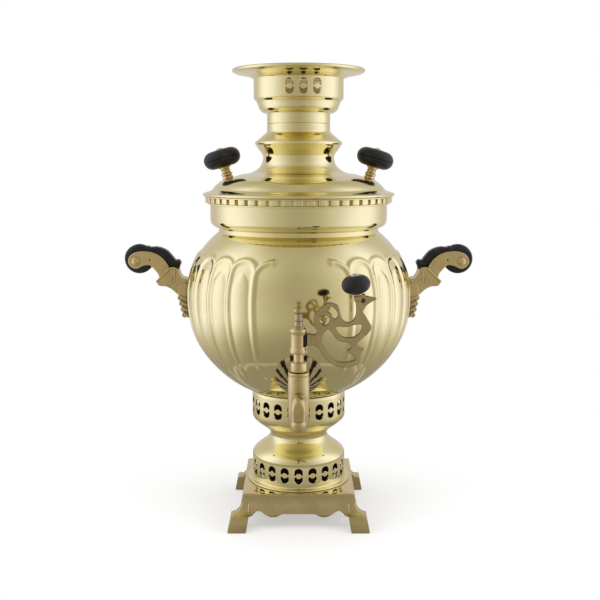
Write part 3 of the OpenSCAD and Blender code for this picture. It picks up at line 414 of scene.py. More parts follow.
def stand_side(turn):
    """One side of the stand, mitred to its neighbours, with the apron's edge rounded."""
    near_corner = [0.975, 0.985, 0.99, 0.995]
    columns = sorted([i / 60 for i in range(-60, 61)] + near_corner + [-u for u in near_corner])
    section = [0.0, 0.02, 0.05] + [0.1 * k for k in range(1, 10)] + [0.95, 1.0]
    rows = []
    spin_by = Matrix.Rotation(math.radians(turn), 3, "Z")
    for u in columns:
        low = apron_edge(u * (STAND_SIDE + STAND_FLARE))
        line = []
        top = STAND_HEIGHT - STAND_EDGE
        for part in reversed(section):
            z = low + 0.7 + (top - low - 0.7) * part
            line.append((stand_half(z), z))
        half = stand_half(low)
        line += [(half - 0.3, low + 0.15), (half - 1.2, low), (half - STAND_WALL + 1, low),
                 (half - STAND_WALL, low + 0.8)]
        for part in section[3:]:
            z = low + 0.7 + (STAND_HEIGHT - STAND_WALL - low - 0.7) * part
            line.append((stand_half(z) - STAND_WALL, z))
        head = [(0.0, STAND_HEIGHT), (SOOT_HALF, STAND_HEIGHT), (STAND_SIDE - STAND_EDGE, STAND_HEIGHT),
                (STAND_SIDE - 0.25 * STAND_EDGE, STAND_HEIGHT - 0.28 * STAND_EDGE)]
        line = head + line + [(0.0, STAND_HEIGHT - STAND_WALL)]
        rows.append([spin_by @ Vector((*corner_rounded(u * d, d), z)) for d, z in line])
    count = len(rows[0])
    verts = [tuple(v) for row in rows for v in row]
    faces = [(i * count + j, i * count + j + 1, (i + 1) * count + j + 1, (i + 1) * count + j)
             for i in range(len(rows) - 1) for j in range(count - 1)]
    return verts, faces


def rounded_box(low, high, radius):
    """A block between two corners, with rounded edges."""
    build = bmesh.new()
    bmesh.ops.create_cube(build, size=1)
    for v in build.verts:
        for k in range(3):
            v.co[k] = low[k] if v.co[k] < 0 else high[k]
    bmesh.ops.bevel(build, geom=build.edges[:] + build.verts[:], offset=radius, segments=3,
                    profile=0.5, affect="EDGES")
    verts = [tuple(v.co) for v in build.verts]
    build.verts.index_update()
    faces = [tuple(v.index for v in f.verts) for f in build.faces]
    build.free()
    return verts, faces


def tube(rings):
    """Rings of points joined in order and closed at both ends."""
    count = len(rings[0])
    verts = [v for ring in rings for v in ring]
    faces = []
    for start in range(0, len(verts) - count, count):
        for i in range(count):
            a, b = start + i, start + (i + 1) % count
            faces.append((a, b, b + count, a + count))
    faces += [tuple(range(count)), tuple(range(len(verts) - count, len(verts)))]
    return verts, faces


def stand_foot(sx, sy):
    """One foot: a block that leans out, with a hollow neck into the corner above it."""
    levels = [(z, FOOT_IN - FOOT_LEAN * min(1, z / 16), FOOT_OUT - back) for z, back in (
        (0.0, 0.5), (0.6, 0.1), (8, 1.45), (15.2, 2.8), (15.8, 3.1), (16.3, 4.2), (16.9, 6.2), (17.8, 8.2),
        (19.2, 10.0), (21.2, 11.6), (23.6, 12.8), (27.0, 14.2))]
    rings = []
    for z, near, far in levels:
        corners = soften([(near, near), (far, near), (far, far), (near, far)], 1.4)
        rings.append([(sx * x, sy * y, z) for x, y in corners])
    return tube(rings)


def plate_top(normal, centre):
    """The flat top of the plate, given a lighter and smoother brass than the sides."""
    return normal.z > 0.9 and centre.z > STAND_HEIGHT - 1


def plate_middle(normal, centre):
    """Where ash and soot fall through the pedestal."""
    return (plate_top(normal, centre) and centre.xy.length < SOOT_R
            and max(abs(centre.x), abs(centre.y)) < SOOT_HALF)


solid("stand", [stand_side(turn) for turn in (0, 90, 180, 270)]
      + [stand_foot(sx, sy) for sx in (-1, 1) for sy in (-1, 1)],
      satin_cast_brass, "samovar", ["base_stand"], sharp=30,
      areas=[(top_cast_brass, plate_top), (soot, plate_middle)])
dress(["base_screws"], steel)


# ---- Pedestal ---------------------------------------------------------------
# Spun from sheet brass: a drum, a narrow waist and a second drum that carries
# the vessel. Both drums are pierced with a press tool and polished afterwards.

SHEET = 1.5
BAND_R, WAIST_R, FLANGE_R, FLANGE_T = 50.0, 30.6, 55.5, 1.8
LOW_BAND, TOP_BAND, GALLERY = 64.5, 109.0, 136.0
DRUM_LOW = STAND_HEIGHT + 3.5
WAIST_Z = (LOW_BAND + TOP_BAND) / 2
HOLES, HOLE_W, HOLE_H = 21, 8.8, 16.8
LOW_HOLE_Z = 52.65
TOP_HOLE_Z = GALLERY - 7 - HOLE_H / 2
CHAMFER = 0.22
COLUMNS = 336               # facets round the pierced drums

# Lathe rings, slow waves, wiping marks and a little tarnish on polished sheet, with painted shade in its
# corners
spun_polish, given, gives = new_group(
    "spun polish",
    [("Metal", "Color", (0.8, 0.67, 0.35, 1)), ("Tarnish", "Color", (0.5, 0.36, 0.14, 1)),
     ("Tarnish share", "Float", 0.3), ("Smooth", "Float", 0.1), ("Dull", "Float", 0.2),
     ("Rings", "Float", 1.0), ("Waves", "Float", 1.0)],
    [("Colour", "Color"), ("Roughness", "Float"), ("Height", "Float")])
place = add_node(spun_polish, "TexCoord").outputs["Object"]
split = add_node(spun_polish, "SeparateXYZ", {0: place})
level = add_node(spun_polish, "CombineXYZ", {0: split.outputs[0], 1: split.outputs[1]})
radius = add_node(spun_polish, "VectorMath", {0: level.outputs[0]}, operation="LENGTH")
lathe_place = add_node(spun_polish, "CombineXYZ", {0: radius.outputs["Value"], 1: split.outputs[2]})
lathe = add_node(spun_polish, "TexNoise", {"Vector": lathe_place.outputs[0], "Scale": 950.0, "Detail": 3.0})
lathe_lift = add_node(spun_polish, "Math", {0: lathe.outputs["Fac"], 1: given["Rings"]}, operation="MULTIPLY")
waves = add_node(spun_polish, "TexNoise", {"Vector": place, "Scale": 22.0, "Detail": 1.0})
waves_lift = add_node(spun_polish, "Math", {0: waves.outputs["Fac"], 1: given["Waves"]}, operation="MULTIPLY")
wave_scale = add_node(spun_polish, "Math", {0: waves_lift.outputs[0], 1: 14.0}, operation="MULTIPLY")
height = add_node(spun_polish, "Math", {0: lathe_lift.outputs[0], 1: wave_scale.outputs[0]}, operation="ADD")
wipe = add_node(spun_polish, "TexNoise", {"Vector": place, "Scale": 34.0, "Detail": 6.0, "Roughness": 0.6,
                                          "Distortion": 0.6})
haze = add_node(spun_polish, "MapRange", {"Value": wipe.outputs["Fac"], "From Min": 0.4, "From Max": 0.72,
                                          "To Min": given["Smooth"], "To Max": given["Dull"]})
# Painted shade: the dark tarnish colour also fills the corners that ambient occlusion finds
corner = add_node(spun_polish, "AmbientOcclusion", {"Distance": 0.006}, samples=6)
corner_shade = add_node(spun_polish, "MapRange", {"Value": corner.outputs["AO"], "From Min": 0.3,
                                                 "From Max": 0.8, "To Min": 1.0, "To Max": 0.0})
wipe_mask = add_node(spun_polish, "MapRange", {"Value": wipe.outputs["Fac"], "From Min": 0.5,
                                               "From Max": 0.85, "To Max": 0.5})
shade_and_patina = add_node(spun_polish, "Math", {0: corner_shade.outputs[0], 1: wipe_mask.outputs[0]},
                 operation="MAXIMUM")
share = add_node(spun_polish, "Math", {0: shade_and_patina.outputs[0], 1: given["Tarnish share"]}, operation="MULTIPLY")
mixed = add_node(spun_polish, "Mix", {0: share.outputs[0], 6: given["Metal"], 7: given["Tarnish"]},
                 data_type="RGBA")
spun_polish.links.new(mixed.outputs[2], gives["Colour"])
spun_polish.links.new(haze.outputs[0], gives["Roughness"])
spun_polish.links.new(height.outputs[0], gives["Height"])

BRASS = (0.80, 0.72, 0.36, 1)
polished_brass = skinned_metal("polished sheet brass", spun_polish, 0.05, 0.0002,
                               Metal=BRASS, Tarnish=(0.50, 0.36, 0.15, 1), Tarnish_share=0.45,
                               Smooth=0.06, Dull=0.13, Rings=1.0, Waves=1.0)


def strip(path, steps=COLUMNS):
    """Surface of revolution of an open path of (radius, height)."""
    verts = [round_axis(r, z, 2 * math.pi * k / steps) for k in range(steps) for r, z in path]
    return verts, wrapped(steps, len(path))


def spin(outline, steps=128):
    """Solid of revolution of a closed outline of (radius, height)."""
    return strip(list(outline) + [outline[0]], steps)


def merged(*shapes):
    """Several shapes as one, so that their shared edges close."""
    verts, faces = [], []
    for more_verts, more_faces in shapes:
        base = len(verts)
        verts += more_verts
        faces += [tuple(base + i for i in face) for face in more_faces]
    return verts, faces


def left_of(path, i):
    """Unit vector square to a path, on its left."""
    a, b = Vector(path[max(i - 1, 0)]), Vector(path[min(i + 1, len(path) - 1)])
    along = (b - a).normalized()
    return Vector((-along.y, along.x))


def inner_line(path):
    """A path moved to its left by the thickness of the sheet."""
    return [tuple(Vector(p) + SHEET * left_of(path, i)) for i, p in enumerate(path)]


def round_edge(a, b, steps=4):
    """Points of a half circle from one face of a sheet to the other."""
    mid, half = (Vector(a) + Vector(b)) / 2, (Vector(b) - Vector(a)) / 2
    ahead = Vector((half.y, -half.x))
    return [tuple(mid - half * math.cos(math.pi * k / steps) + ahead * math.sin(math.pi * k / steps))
            for k in range(1, steps)]


def sheet_outline(path):
    """Closed outline of a sheet on the left of a path, with rounded edges."""
    inner = inner_line(path)
    return list(path) + round_edge(path[-1], inner[-1]) + inner[::-1] + round_edge(inner[0], path[0])


def ogee(r0, z0, r1, z1, steps=22):
    """Double curve between two radii, level with the axis at both ends."""
    return [(r0 + (r1 - r0) * (1 - math.cos(math.pi * i / steps)) / 2, z0 + (z1 - z0) * i / steps)
            for i in range(steps + 1)]


def crescents(w, h, grow=0.0):
    """Outlines of the two facing crescents of one pierced figure, cut side grown by a chamfer."""
    half, eye, bridge = w / 2 + grow, w * 0.33 - grow, h * 0.075 - grow
    straight = (h - w) / 2
    eye_angle = math.degrees(math.asin(bridge / eye))
    upper = [(half, bridge), (half, straight * 0.6)]
    upper += [(half * math.cos(math.radians(a)), straight + half * math.sin(math.radians(a)))
              for a in range(0, 181, 12)]
    upper += [(-half, straight * 0.6), (-half, bridge)]
    upper += [(eye * math.cos(math.radians(180 - a)), eye * math.sin(math.radians(180 - a)))
              for a in [eye_angle + (180 - 2 * eye_angle) * k / 12 for k in range(13)]]
    return [upper, [(-x, -z) for x, z in upper]]


def pierced_drum(radius, low, high, figures, seam, rows=9):
    """A drum wall with figures cut through it; figures are (degrees, height, width, height)."""
    per_degree = math.pi * radius / 180
    outer_loops, true_loops = [], []
    for angle, z, w, h in figures:
        at = ((angle - seam) % 360) * per_degree
        for kind, grow in ((outer_loops, CHAMFER), (true_loops, 0.0)):
            kind += [[(at + x, z + y) for x, y in loop] for loop in crescents(w, h, grow)]
    boxes = [(min(p[0] for p in loop), max(p[0] for p in loop), min(p[1] for p in loop),
              max(p[1] for p in loop)) for loop in outer_loops]

    def in_hole(x, y, clear=0.0):
        for loop, (x0, x1, y0, y1) in zip(outer_loops, boxes):
            if not (x0 - clear < x < x1 + clear and y0 - clear < y < y1 + clear):
                continue
            inside = False
            for (ax, ay), (bx, by) in zip(loop, loop[1:] + loop[:1]):
                if (ay > y) != (by > y) and x < (bx - ax) * (y - ay) / (by - ay) + ax:
                    inside = not inside
                if clear and math.hypot(x - ax, y - ay) < clear:
                    return True
            if inside:
                return True
        return False

    points = []
    for i in range(COLUMNS + 1):
        for j in range(rows + 1):
            x, y = 360 * per_degree * i / COLUMNS, low + (high - low) * j / rows
            if j in (0, rows) or i in (0, COLUMNS) or not in_hole(x, y, 0.35):
                points.append((x, y))
    true_points = list(points)
    rings, edges = [], []
    for loop, true in zip(outer_loops, true_loops):
        start = len(points)
        points += loop
        true_points += true
        ring = list(range(start, len(points)))
        rings.append(ring)
        edges += list(zip(ring, ring[1:] + ring[:1]))
    verts2d, _, cells, origins, _, _ = delaunay_2d_cdt([Vector(p) for p in points], edges, [], 0, 1e-5, True)
    new_of = {old: new for new, olds in enumerate(origins) for old in olds}
    source = [olds[0] if olds else None for olds in origins]
    outer, middle, inner = [], [], []
    for new, flat in enumerate(verts2d):
        true = true_points[source[new]] if source[new] is not None else tuple(flat)
        for out, (x, z), r in ((outer, tuple(flat), radius), (middle, true, radius - CHAMFER),
                               (inner, true, radius - SHEET)):
            out.append(round_axis(r, z, math.radians(x / per_degree + seam)))
    count = len(verts2d)
    faces = []
    for cell in cells:
        cx = sum(verts2d[i].x for i in cell) / len(cell)
        cy = sum(verts2d[i].y for i in cell) / len(cell)
        if not in_hole(cx, cy):
            faces.append(tuple(cell))
            faces.append(tuple(2 * count + i for i in reversed(cell)))
    for ring in rings:
        for old_a, old_b in zip(ring, ring[1:] + ring[:1]):
            a, b = new_of[old_a], new_of[old_b]
            faces += [(a, b, count + b, count + a), (count + a, count + b, 2 * count + b, 2 * count + a)]
    used = {i for face in faces for i in face}
    everything = outer + middle + inner
    order = {old: k for k, old in enumerate(sorted(used))}
    return [everything[i] for i in sorted(used)], [tuple(order[i] for i in face) for face in faces]


def band_figures(z, shift):
    return [((k + shift) * 360 / HOLES, z, HOLE_W, HOLE_H) for k in range(HOLES)]


waist = ogee(BAND_R, LOW_BAND, WAIST_R, WAIST_Z) + ogee(WAIST_R, WAIST_Z, BAND_R, TOP_BAND)[1:]
waist_inside = inner_line(waist)
waist_inside[0], waist_inside[-1] = (BAND_R - SHEET, LOW_BAND), (BAND_R - SHEET, TOP_BAND)
flange = ([(BAND_R - SHEET, DRUM_LOW - 1), (BAND_R - SHEET, STAND_HEIGHT + 0.2),
           (FLANGE_R - 2, STAND_HEIGHT)]
          + arc(FLANGE_R - FLANGE_T / 2, STAND_HEIGHT + FLANGE_T / 2, FLANGE_T / 2, FLANGE_T / 2, -90, 90)
          + [(BAND_R + 1.6, STAND_HEIGHT + FLANGE_T)]
          + arc(BAND_R + 1.4, STAND_HEIGHT + FLANGE_T + 1.4, 1.4, 1.4, 270, 180, 4)
          + [(BAND_R, DRUM_LOW)])
rim = arc(BAND_R - SHEET / 2, GALLERY - SHEET / 2, SHEET / 2, SHEET / 2, 0, 180, 6)
pedestal = merged(
    strip(flange),
    pierced_drum(BAND_R, DRUM_LOW, LOW_BAND, band_figures(LOW_HOLE_Z, 0), 180 / HOLES),
    strip([(BAND_R - SHEET, DRUM_LOW - 1), (BAND_R - SHEET, DRUM_LOW)]),
    strip(waist), strip(waist_inside),
    pierced_drum(BAND_R, TOP_BAND, GALLERY - SHEET / 2, band_figures(TOP_HOLE_Z, 0.5), 0),
    strip(rim))


def faces_axis(normal, centre):
    return normal.xy.dot(centre.xy.normalized()) < -0.3


solid("pierced_pedestal", [pedestal], polished_brass, "samovar", ["pedestal"], sharp=40,
      areas=[(soot, faces_axis)])


# ---- Vessel -----------------------------------------------------------------
# The water vessel is spun to a globe and then chased by hand: raised borders
# arch over a row of full lobes from the shoulder to the foot, and a comma-shaped
# curl ends the row at each side of the plain panel behind the tap.

GLOBE_R, GLOBE_UP, GLOBE_DOWN, GLOBE_POWER = 117.5, 92.0, 112.0, 2.1
COVE_R, COLLAR_R, COLLAR_H, COVE_H, COLLAR_ROLL = 84.1, 92.8, 37.2, 4.0, 9.0
FIREBOX_R = 42.0


def globe_rise(r, half):
    return half * (1 - (r / GLOBE_R) ** GLOBE_POWER) ** (1 / GLOBE_POWER)


GLOBE_Z = GALLERY + 0.05 + globe_rise(BAND_R - SHEET, GLOBE_DOWN)
COVE_Z = GLOBE_Z + globe_rise(COVE_R, GLOBE_UP)
RIM_Z = COVE_Z + COLLAR_H


def globe_point(angle):
    """Place on the globe's outline, by its angle in degrees above the widest level."""
    half = GLOBE_UP if angle > 0 else GLOBE_DOWN
    c, s = math.cos(math.radians(angle)), math.sin(math.radians(angle))
    return (GLOBE_R * c ** (2 / GLOBE_POWER),
            GLOBE_Z + half * math.copysign(abs(s) ** (2 / GLOBE_POWER), s))


def globe_r_at(z):
    """Radius of the globe at a height."""
    half = GLOBE_UP if z > GLOBE_Z else GLOBE_DOWN
    return GLOBE_R * (1 - (abs(z - GLOBE_Z) / half) ** GLOBE_POWER) ** (1 / GLOBE_POWER)


LOBES = 23
PANEL_HALF = 24.2           # degrees from the middle of the plain panel to its first border
LOBE_TURN = 2.0             # the row of lobes sits a little round to the right of the tap
PITCH = (360 - 2 * PANEL_HALF) / LOBES
BORDER_H, BORDER_W = 1.5, 4.6       # a border's height and half width
LOBE_H = 1.25
ARCH_TOP = 47.0             # level of the arches' middle line, along the sheet from the widest level
ARCH_R = 111.0              # radius of the vessel where the arches spring
LOBE_GAP, LOBE_TIP_H = 8.0, 17.0            # a lobe's gap under its arch and the height of its tip
FADE_LOW, FADE_TOP = -98, -30               # levels between which the chasing dies away downwards
LOBE_STEPS, PANEL_STEP = 26, 0.55           # facets across a lobe, and degrees of a facet on the panel


def bump(distance, width):
    """A rounded ridge, 1 on its line and 0 at its foot."""
    return 0.5 + 0.5 * math.cos(math.pi * distance / width) if distance < width else 0.0


CURL = [(24.2, 30.0, 4.2), (23.7, 35.5, 3.9), (22.4, 40.0, 3.5), (20.2, 43.6, 3.3),
        (17.6, 46.0, 3.6), (15.2, 46.4, 4.4)]     # degrees, level and half width along each curl


def chased(angle, level, radius):
    """Height of the chasing over the plain globe, in millimetres."""
    angle = (angle - LOBE_TURN + 180) % 360 - 180
    per_degree = math.radians(1) * radius
    around = angle % 360
    lobe = max(0, min(LOBES - 1, int((around - PANEL_HALF) // PITCH)))
    if not PANEL_HALF < around < 360 - PANEL_HALF:
        lobe = 0 if angle > 0 else LOBES - 1
    off = around - PANEL_HALF - (lobe + 0.5) * PITCH
    if off < -180:
        off += 360
    if off > 180:
        off -= 360
    across = abs(off) * per_degree
    half = PITCH / 2 * math.radians(1) * ARCH_R
    spring = ARCH_TOP - half
    if level > spring:
        line = abs(math.hypot(across, level - spring) - half)
        within = math.hypot(across, level - spring) < half
    else:
        half = PITCH / 2 * per_degree
        line = abs(across - half)
        within = across < half
    fade = ramp(level, FADE_LOW, FADE_TOP)
    lift = BORDER_H * bump(line, BORDER_W) * fade
    if within:
        full = half - BORDER_W * 0.9
        tip = ARCH_TOP - BORDER_W - LOBE_GAP
        base = tip - LOBE_TIP_H
        width = full
        if level > base:
            width = full * max(0.0, 1 - ((level - base) / (tip - base)) ** 2) ** 0.72
        if across < width:
            swell = (1 - (across / width) ** 2) ** 0.8
            lift += LOBE_H * swell * min(1.0, width / full * 1.4) * fade
    if abs(angle) < PANEL_HALF + 3 and level > 24:
        curl = 0.0
        for (a0, s0, w0), (a1, s1, w1) in zip(CURL, CURL[1:]):
            p = Vector(((abs(angle) - a0) * per_degree, level - s0))
            q = Vector(((a1 - a0) * per_degree, s1 - s0))
            t = max(0.0, min(1.0, p.dot(q) / q.length_squared))
            width = w0 + (w1 - w0) * t
            curl = max(curl, bump((p - q * t).length, width) ** 0.8)
        lift = max(lift, BORDER_H * curl)
    return lift


def along(path, spacing):
    """Points along a path at the distances that spacing(distance) asks for."""
    lengths = [0.0]
    for a, b in zip(path, path[1:]):
        lengths.append(lengths[-1] + math.dist(a, b))
    out, at, k = [path[0]], 0.0, 0
    while True:
        at += spacing(at)
        if at >= lengths[-1]:
            break
        while lengths[k + 1] < at:
            k += 1
        t = (at - lengths[k]) / (lengths[k + 1] - lengths[k])
        out.append(tuple(Vector(path[k]).lerp(Vector(path[k + 1]), t)))
    return out + [path[-1]]


def angle_of(r):
    return math.degrees(math.acos((r / GLOBE_R) ** (GLOBE_POWER / 2)))


low_angle, high_angle = -angle_of(FIREBOX_R + 0.05), angle_of(COVE_R)
dense = [globe_point(low_angle + (high_angle - low_angle) * i / 3000) for i in range(3001)]
start_level = -sum(math.dist(a, b) for a, b in zip(dense, dense[1:]) if b[1] < GLOBE_Z)
globe_path = along(dense, lambda at: 1.5 if -100 < start_level + at < 56 else 3.0)
levels = [start_level]
for a, b in zip(globe_path, globe_path[1:]):
    levels.append(levels[-1] + math.dist(a, b))
collar_path = soften([(COVE_R, COVE_Z + 0.6), (COVE_R - 0.2, COVE_Z + COVE_H)]
                     + arc(COLLAR_R - COLLAR_ROLL, COVE_Z + COVE_H + COLLAR_ROLL, COLLAR_ROLL,
                           COLLAR_ROLL - 0.5, -84, 0, 14)
                     + [(COLLAR_R, RIM_Z - 12), (COLLAR_R, RIM_Z - 0.7)], 0.5, 2, closed=False)
mouth = arc(COLLAR_R - SHEET / 2, RIM_Z - SHEET / 2, SHEET / 2, SHEET / 2, 0, 180, 6)
skin_path = globe_path + collar_path + mouth[1:]
inside = inner_line(globe_path + collar_path)
inside_path = inside[::-4] + [inside[0], globe_path[0]]
angles = [PANEL_HALF + LOBE_TURN + k * PITCH / LOBE_STEPS for k in range(LOBES * LOBE_STEPS)]
panel_steps = round(2 * PANEL_HALF / PANEL_STEP)
angles += [360 - PANEL_HALF + LOBE_TURN + 2 * PANEL_HALF * k / panel_steps for k in range(panel_steps)]
verts = []
normals = [left_of(skin_path, i) * -1 for i in range(len(globe_path))]
for angle in angles:
    a = math.radians(angle)
    for i, (r, z) in enumerate(skin_path):
        if i < len(globe_path):
            lift = chased(angle, levels[i], r)
            r, z = r + normals[i].x * lift, z + normals[i].y * lift
        verts.append(round_axis(r, z, a))
    verts += [round_axis(r, z, a) for r, z in inside_path]
faces = wrapped(len(angles), len(skin_path) + len(inside_path))
tinned = skinned_metal("tinned inside", cast_skin, 0.1, 0.0003, Metal=(0.50, 0.49, 0.47, 1),
                       Grime=(0.30, 0.28, 0.25, 1), Grime_share=0.6, Reach=0.01, Grain=500.0,
                       Smooth=0.4, Dull=0.6)
solid("vessel", [(verts, faces)], polished_brass, "samovar", ["vessel_shell"], sharp=60,
      areas=[(tinned, faces_axis)])


# ---- Collar ring ------------------------------------------------------------
# A brass band soldered under the vessel's mouth, milled into a row of dentils
# under a thin lip.

RING_H, RING_T, DENTIL_D, DENTILS, DENTIL_SHARE = 8.0, 2.0, 3.2, 52, 0.72
LIP_H, LIP_OUT = 1.2, 0.5
ring_in = COLLAR_R + 0.05
ring_face = ring_in + RING_T
lip_r = ring_face + DENTIL_D + LIP_OUT
ring_low = RIM_Z - RING_H
ring_outline = soften([(ring_in, ring_low), (ring_face + 0.8, ring_low), (ring_face + 0.8, ring_low + 1.3),
                       (ring_face, ring_low + 1.9), (ring_face, RIM_Z - LIP_H - 0.4),
                       (ring_face + 0.6, RIM_Z - LIP_H), (lip_r, RIM_Z - LIP_H), (lip_r, RIM_Z),
                       (ring_in, RIM_Z)], 0.35, 3)
dentil_w = 2 * math.pi * ring_face / DENTILS * DENTIL_SHARE


def placed(shape, matrix):
    """A shape moved and turned by a matrix."""
    return [tuple(matrix @ Vector(v)) for v in shape[0]], shape[1]


dentil = rounded_box((ring_in + 1, -dentil_w / 2, ring_low + 1.6),
                     (ring_face + DENTIL_D, dentil_w / 2, RIM_Z - LIP_H + 0.3), 0.7)
solid("dentil_ring", [spin(ring_outline, 208)]
      + [placed(dentil, Matrix.Rotation(2 * math.pi * k / DENTILS, 4, "Z")) for k in range(DENTILS)],
      polished_brass, "samovar", ["collar_ring"])


# ---- Fire tube and grate ----------------------------------------------------
# A spun brass tube soldered through the vessel: charcoal burns on a loose iron
# grate in its wide foot, and the draught runs up its neck. Soot darkens its bore.

TUBE_R = 30.5
tube_low = GLOBE_Z - globe_rise(FIREBOX_R + 0.05, GLOBE_DOWN) - 3
tube_top = RIM_Z + 73
tube_outline = sheet_outline(soften([(FIREBOX_R, tube_low), (FIREBOX_R, tube_low + 30),
                                     (TUBE_R, RIM_Z - 30), (TUBE_R, tube_top)], 4, 5, closed=False))
ledge = soften([(FIREBOX_R - SHEET - 3, tube_low + 6.5), (FIREBOX_R - SHEET / 2, tube_low + 6.5),
                (FIREBOX_R - SHEET / 2, tube_low + 8), (FIREBOX_R - SHEET - 3, tube_low + 8)], 0.3, 2)
heat_brass = skinned_metal("heat-stained brass", spun_polish, 0.08, 0.0003,
                           Metal=(0.58, 0.44, 0.20, 1), Tarnish=(0.16, 0.10, 0.05, 1),
                           Tarnish_share=0.9, Smooth=0.24, Dull=0.5, Rings=1.5, Waves=1.0)
iron = skinned_metal("cast iron", cast_skin, 0.4, 0.0006, Metal=(0.13, 0.125, 0.12, 1),
                     Grime=(0.05, 0.045, 0.04, 1), Grime_share=0.8, Reach=0.006, Grain=900.0,
                     Smooth=0.5, Dull=0.75)
solid("spun_fire_tube", [spin(tube_outline), spin(ledge)], heat_brass, "samovar",
      ["fire_tube"])
dress(["fire_grate"], iron)


# ---- Lid --------------------------------------------------------------------
# Spun in one piece over the fire tube: a flange with a rolled bead, a stepped
# shoulder, a flat cone and a waisted neck that the crown stands on.

LID_Z = RIM_Z + 0.1
LID_R, LID_H, LID_BEAD = 100.4, 74.0, 1.6
LID_WAIST, LID_BEAD_R, NECK_R = 37.1, 45.4, TUBE_R + SHEET + 0.8
SHOULDER_R, SHOULDER_H, CONE_R, CONE_H = 79.8, 16.4, 58.7, 22.6


def raised(path, dz):
    return [(r, z + dz) for r, z in path]


lid_path = raised(
    soften([(LID_R - LID_BEAD, SHEET + 1.2), (97.4, 3.8), (93.4, 4.9), (90.4, 6.5), (89, 8.3), (87.4, 10.3),
            (85.2, 12.4), (82.6, 14.6), (SHOULDER_R, SHOULDER_H), (CONE_R, CONE_H)],
           1.2, 3, closed=False)
    + arc(CONE_R, 39, CONE_R - LID_WAIST, 39 - CONE_H, 262, 180, 18)
    + soften([(LID_WAIST, 40.5), (38.1, 43.3), (41.4, 47.6), (43.6, 50.8)], 1.2, 4, closed=False)
    + arc(LID_BEAD_R - 2.9, 54.2, 2.9, 2.7, -50, 75, 10)
    + soften([(43, 57.2), (40.6, 59.2), (37.6, 61.8)], 1.5, 4, closed=False)
    + arc(36.4, 68, 3.6, 4.4, 250, 180, 10) + [(NECK_R, LID_H - 0.6)], LID_Z)
bead = arc(LID_R - LID_BEAD, LID_Z + LID_BEAD, LID_BEAD, LID_BEAD, 0, 345, 16)
flange_in = COLLAR_R - 2 * SHEET - 0.5
flange_ring = soften([(flange_in, LID_Z), (LID_R - LID_BEAD, LID_Z), (LID_R - LID_BEAD, LID_Z + SHEET + 0.3),
                      (flange_in, LID_Z + SHEET + 0.3)], 0.2, 2)
spigot = soften([(flange_in, LID_Z - 8), (flange_in + SHEET, LID_Z - 8), (flange_in + SHEET, LID_Z + 1),
                 (flange_in, LID_Z + 1)], 0.4, 3)
solid("spun_lid", [spin(outline, 224) for outline in (sheet_outline(lid_path), bead, flange_ring, spigot)],
      polished_brass, "lid", ["lid"], sharp=42)


# ---- Lid knobs --------------------------------------------------------------
# Two black moulded knobs on turned stems lift the hot lid. A screw through each
# knob runs into the stem, and a nut under the lid holds the stem.

STEM_H = 12.2
KNOB_R, KNOB_T, KNOB_AT = 19.5, 18.4, 74.0
KNOB_LOW = STEM_H + 0.1
CONE_SLOPE = math.degrees(math.atan((CONE_H - SHOULDER_H) / (SHOULDER_R - CONE_R)))

# Fine dust and wear on moulded plastic
moulded_skin, given, gives = new_group(
    "moulded skin",
    [("Body", "Color", (0.02, 0.02, 0.02, 1)), ("Worn", "Color", (0.06, 0.055, 0.05, 1)),
     ("Smooth", "Float", 0.25), ("Dull", "Float", 0.45)],
    [("Colour", "Color"), ("Roughness", "Float"), ("Height", "Float")])
place = add_node(moulded_skin, "TexCoord").outputs["Object"]
fine_dust = add_node(moulded_skin, "TexNoise", {"Vector": place, "Scale": 1600.0, "Detail": 3.0})
touch = add_node(moulded_skin, "TexNoise", {"Vector": place, "Scale": 90.0, "Detail": 5.0, "Roughness": 0.6})
worn = add_node(moulded_skin, "MapRange", {"Value": touch.outputs["Fac"], "From Min": 0.45, "From Max": 0.8,
                                           "To Max": 0.7})
mixed = add_node(moulded_skin, "Mix", {0: worn.outputs[0], 6: given["Body"], 7: given["Worn"]},
                 data_type="RGBA")
rough = add_node(moulded_skin, "MapRange", {"Value": touch.outputs["Fac"], "From Min": 0.35, "From Max": 0.7,
                                            "To Min": given["Smooth"], "To Max": given["Dull"]})
lift = add_node(moulded_skin, "Math", {0: fine_dust.outputs["Fac"], 1: touch.outputs["Fac"]}, operation="ADD")
moulded_skin.links.new(mixed.outputs[2], gives["Colour"])
moulded_skin.links.new(rough.outputs[0], gives["Roughness"])
moulded_skin.links.new(lift.outputs[0], gives["Height"])

black_plastic = skinned_metal("black moulded plastic", moulded_skin, 0.08, 0.0002, metallic=0.0,
                              Body=(0.012, 0.011, 0.011, 1), Worn=(0.03, 0.028, 0.026, 1),
                              Smooth=0.25, Dull=0.42)
black_plastic.node_tree.nodes["Principled BSDF"].inputs["Specular IOR Level"].default_value = 0.22
turned_bronze = skinned_metal("turned bronze", spun_polish, 0.04, 0.0002,
                              Metal=(0.76, 0.58, 0.30, 1), Tarnish=(0.38, 0.23, 0.09, 1),
                              Tarnish_share=0.7, Smooth=0.14, Dull=0.26, Rings=1.2, Waves=0.3)


def on_cone(side, up=0.0):
    """Frame on the lid's cone, square to it, on the right (1) or left (-1)."""
    z = LID_Z + SHOULDER_H + (SHOULDER_R - KNOB_AT) * math.tan(math.radians(CONE_SLOPE))
    return (Matrix.Rotation(0 if side > 0 else math.pi, 4, "Z") @ Matrix.Translation((KNOB_AT, 0, z))
            @ Matrix.Rotation(math.radians(CONE_SLOPE), 4, "Y") @ Matrix.Translation((0, 0, up)))


stem_outline = soften([(0, -8), (2.4, -8), (2.5, 0.05), (5.8, 0.05), (5.9, 1.2), (5.2, 2.6), (4.7, 3.2),
                       (6.1, 3.8), (6.2, 5.2), (4.8, 5.9), (4.4, 6.6), (4.4, 7.4), (5, 7.8), (5, 8.8),
                       (4.3, 9.3), (4.4, 10), (6.6, 11.8), (6.6, STEM_H), (0, STEM_H)], 0.4, 3)


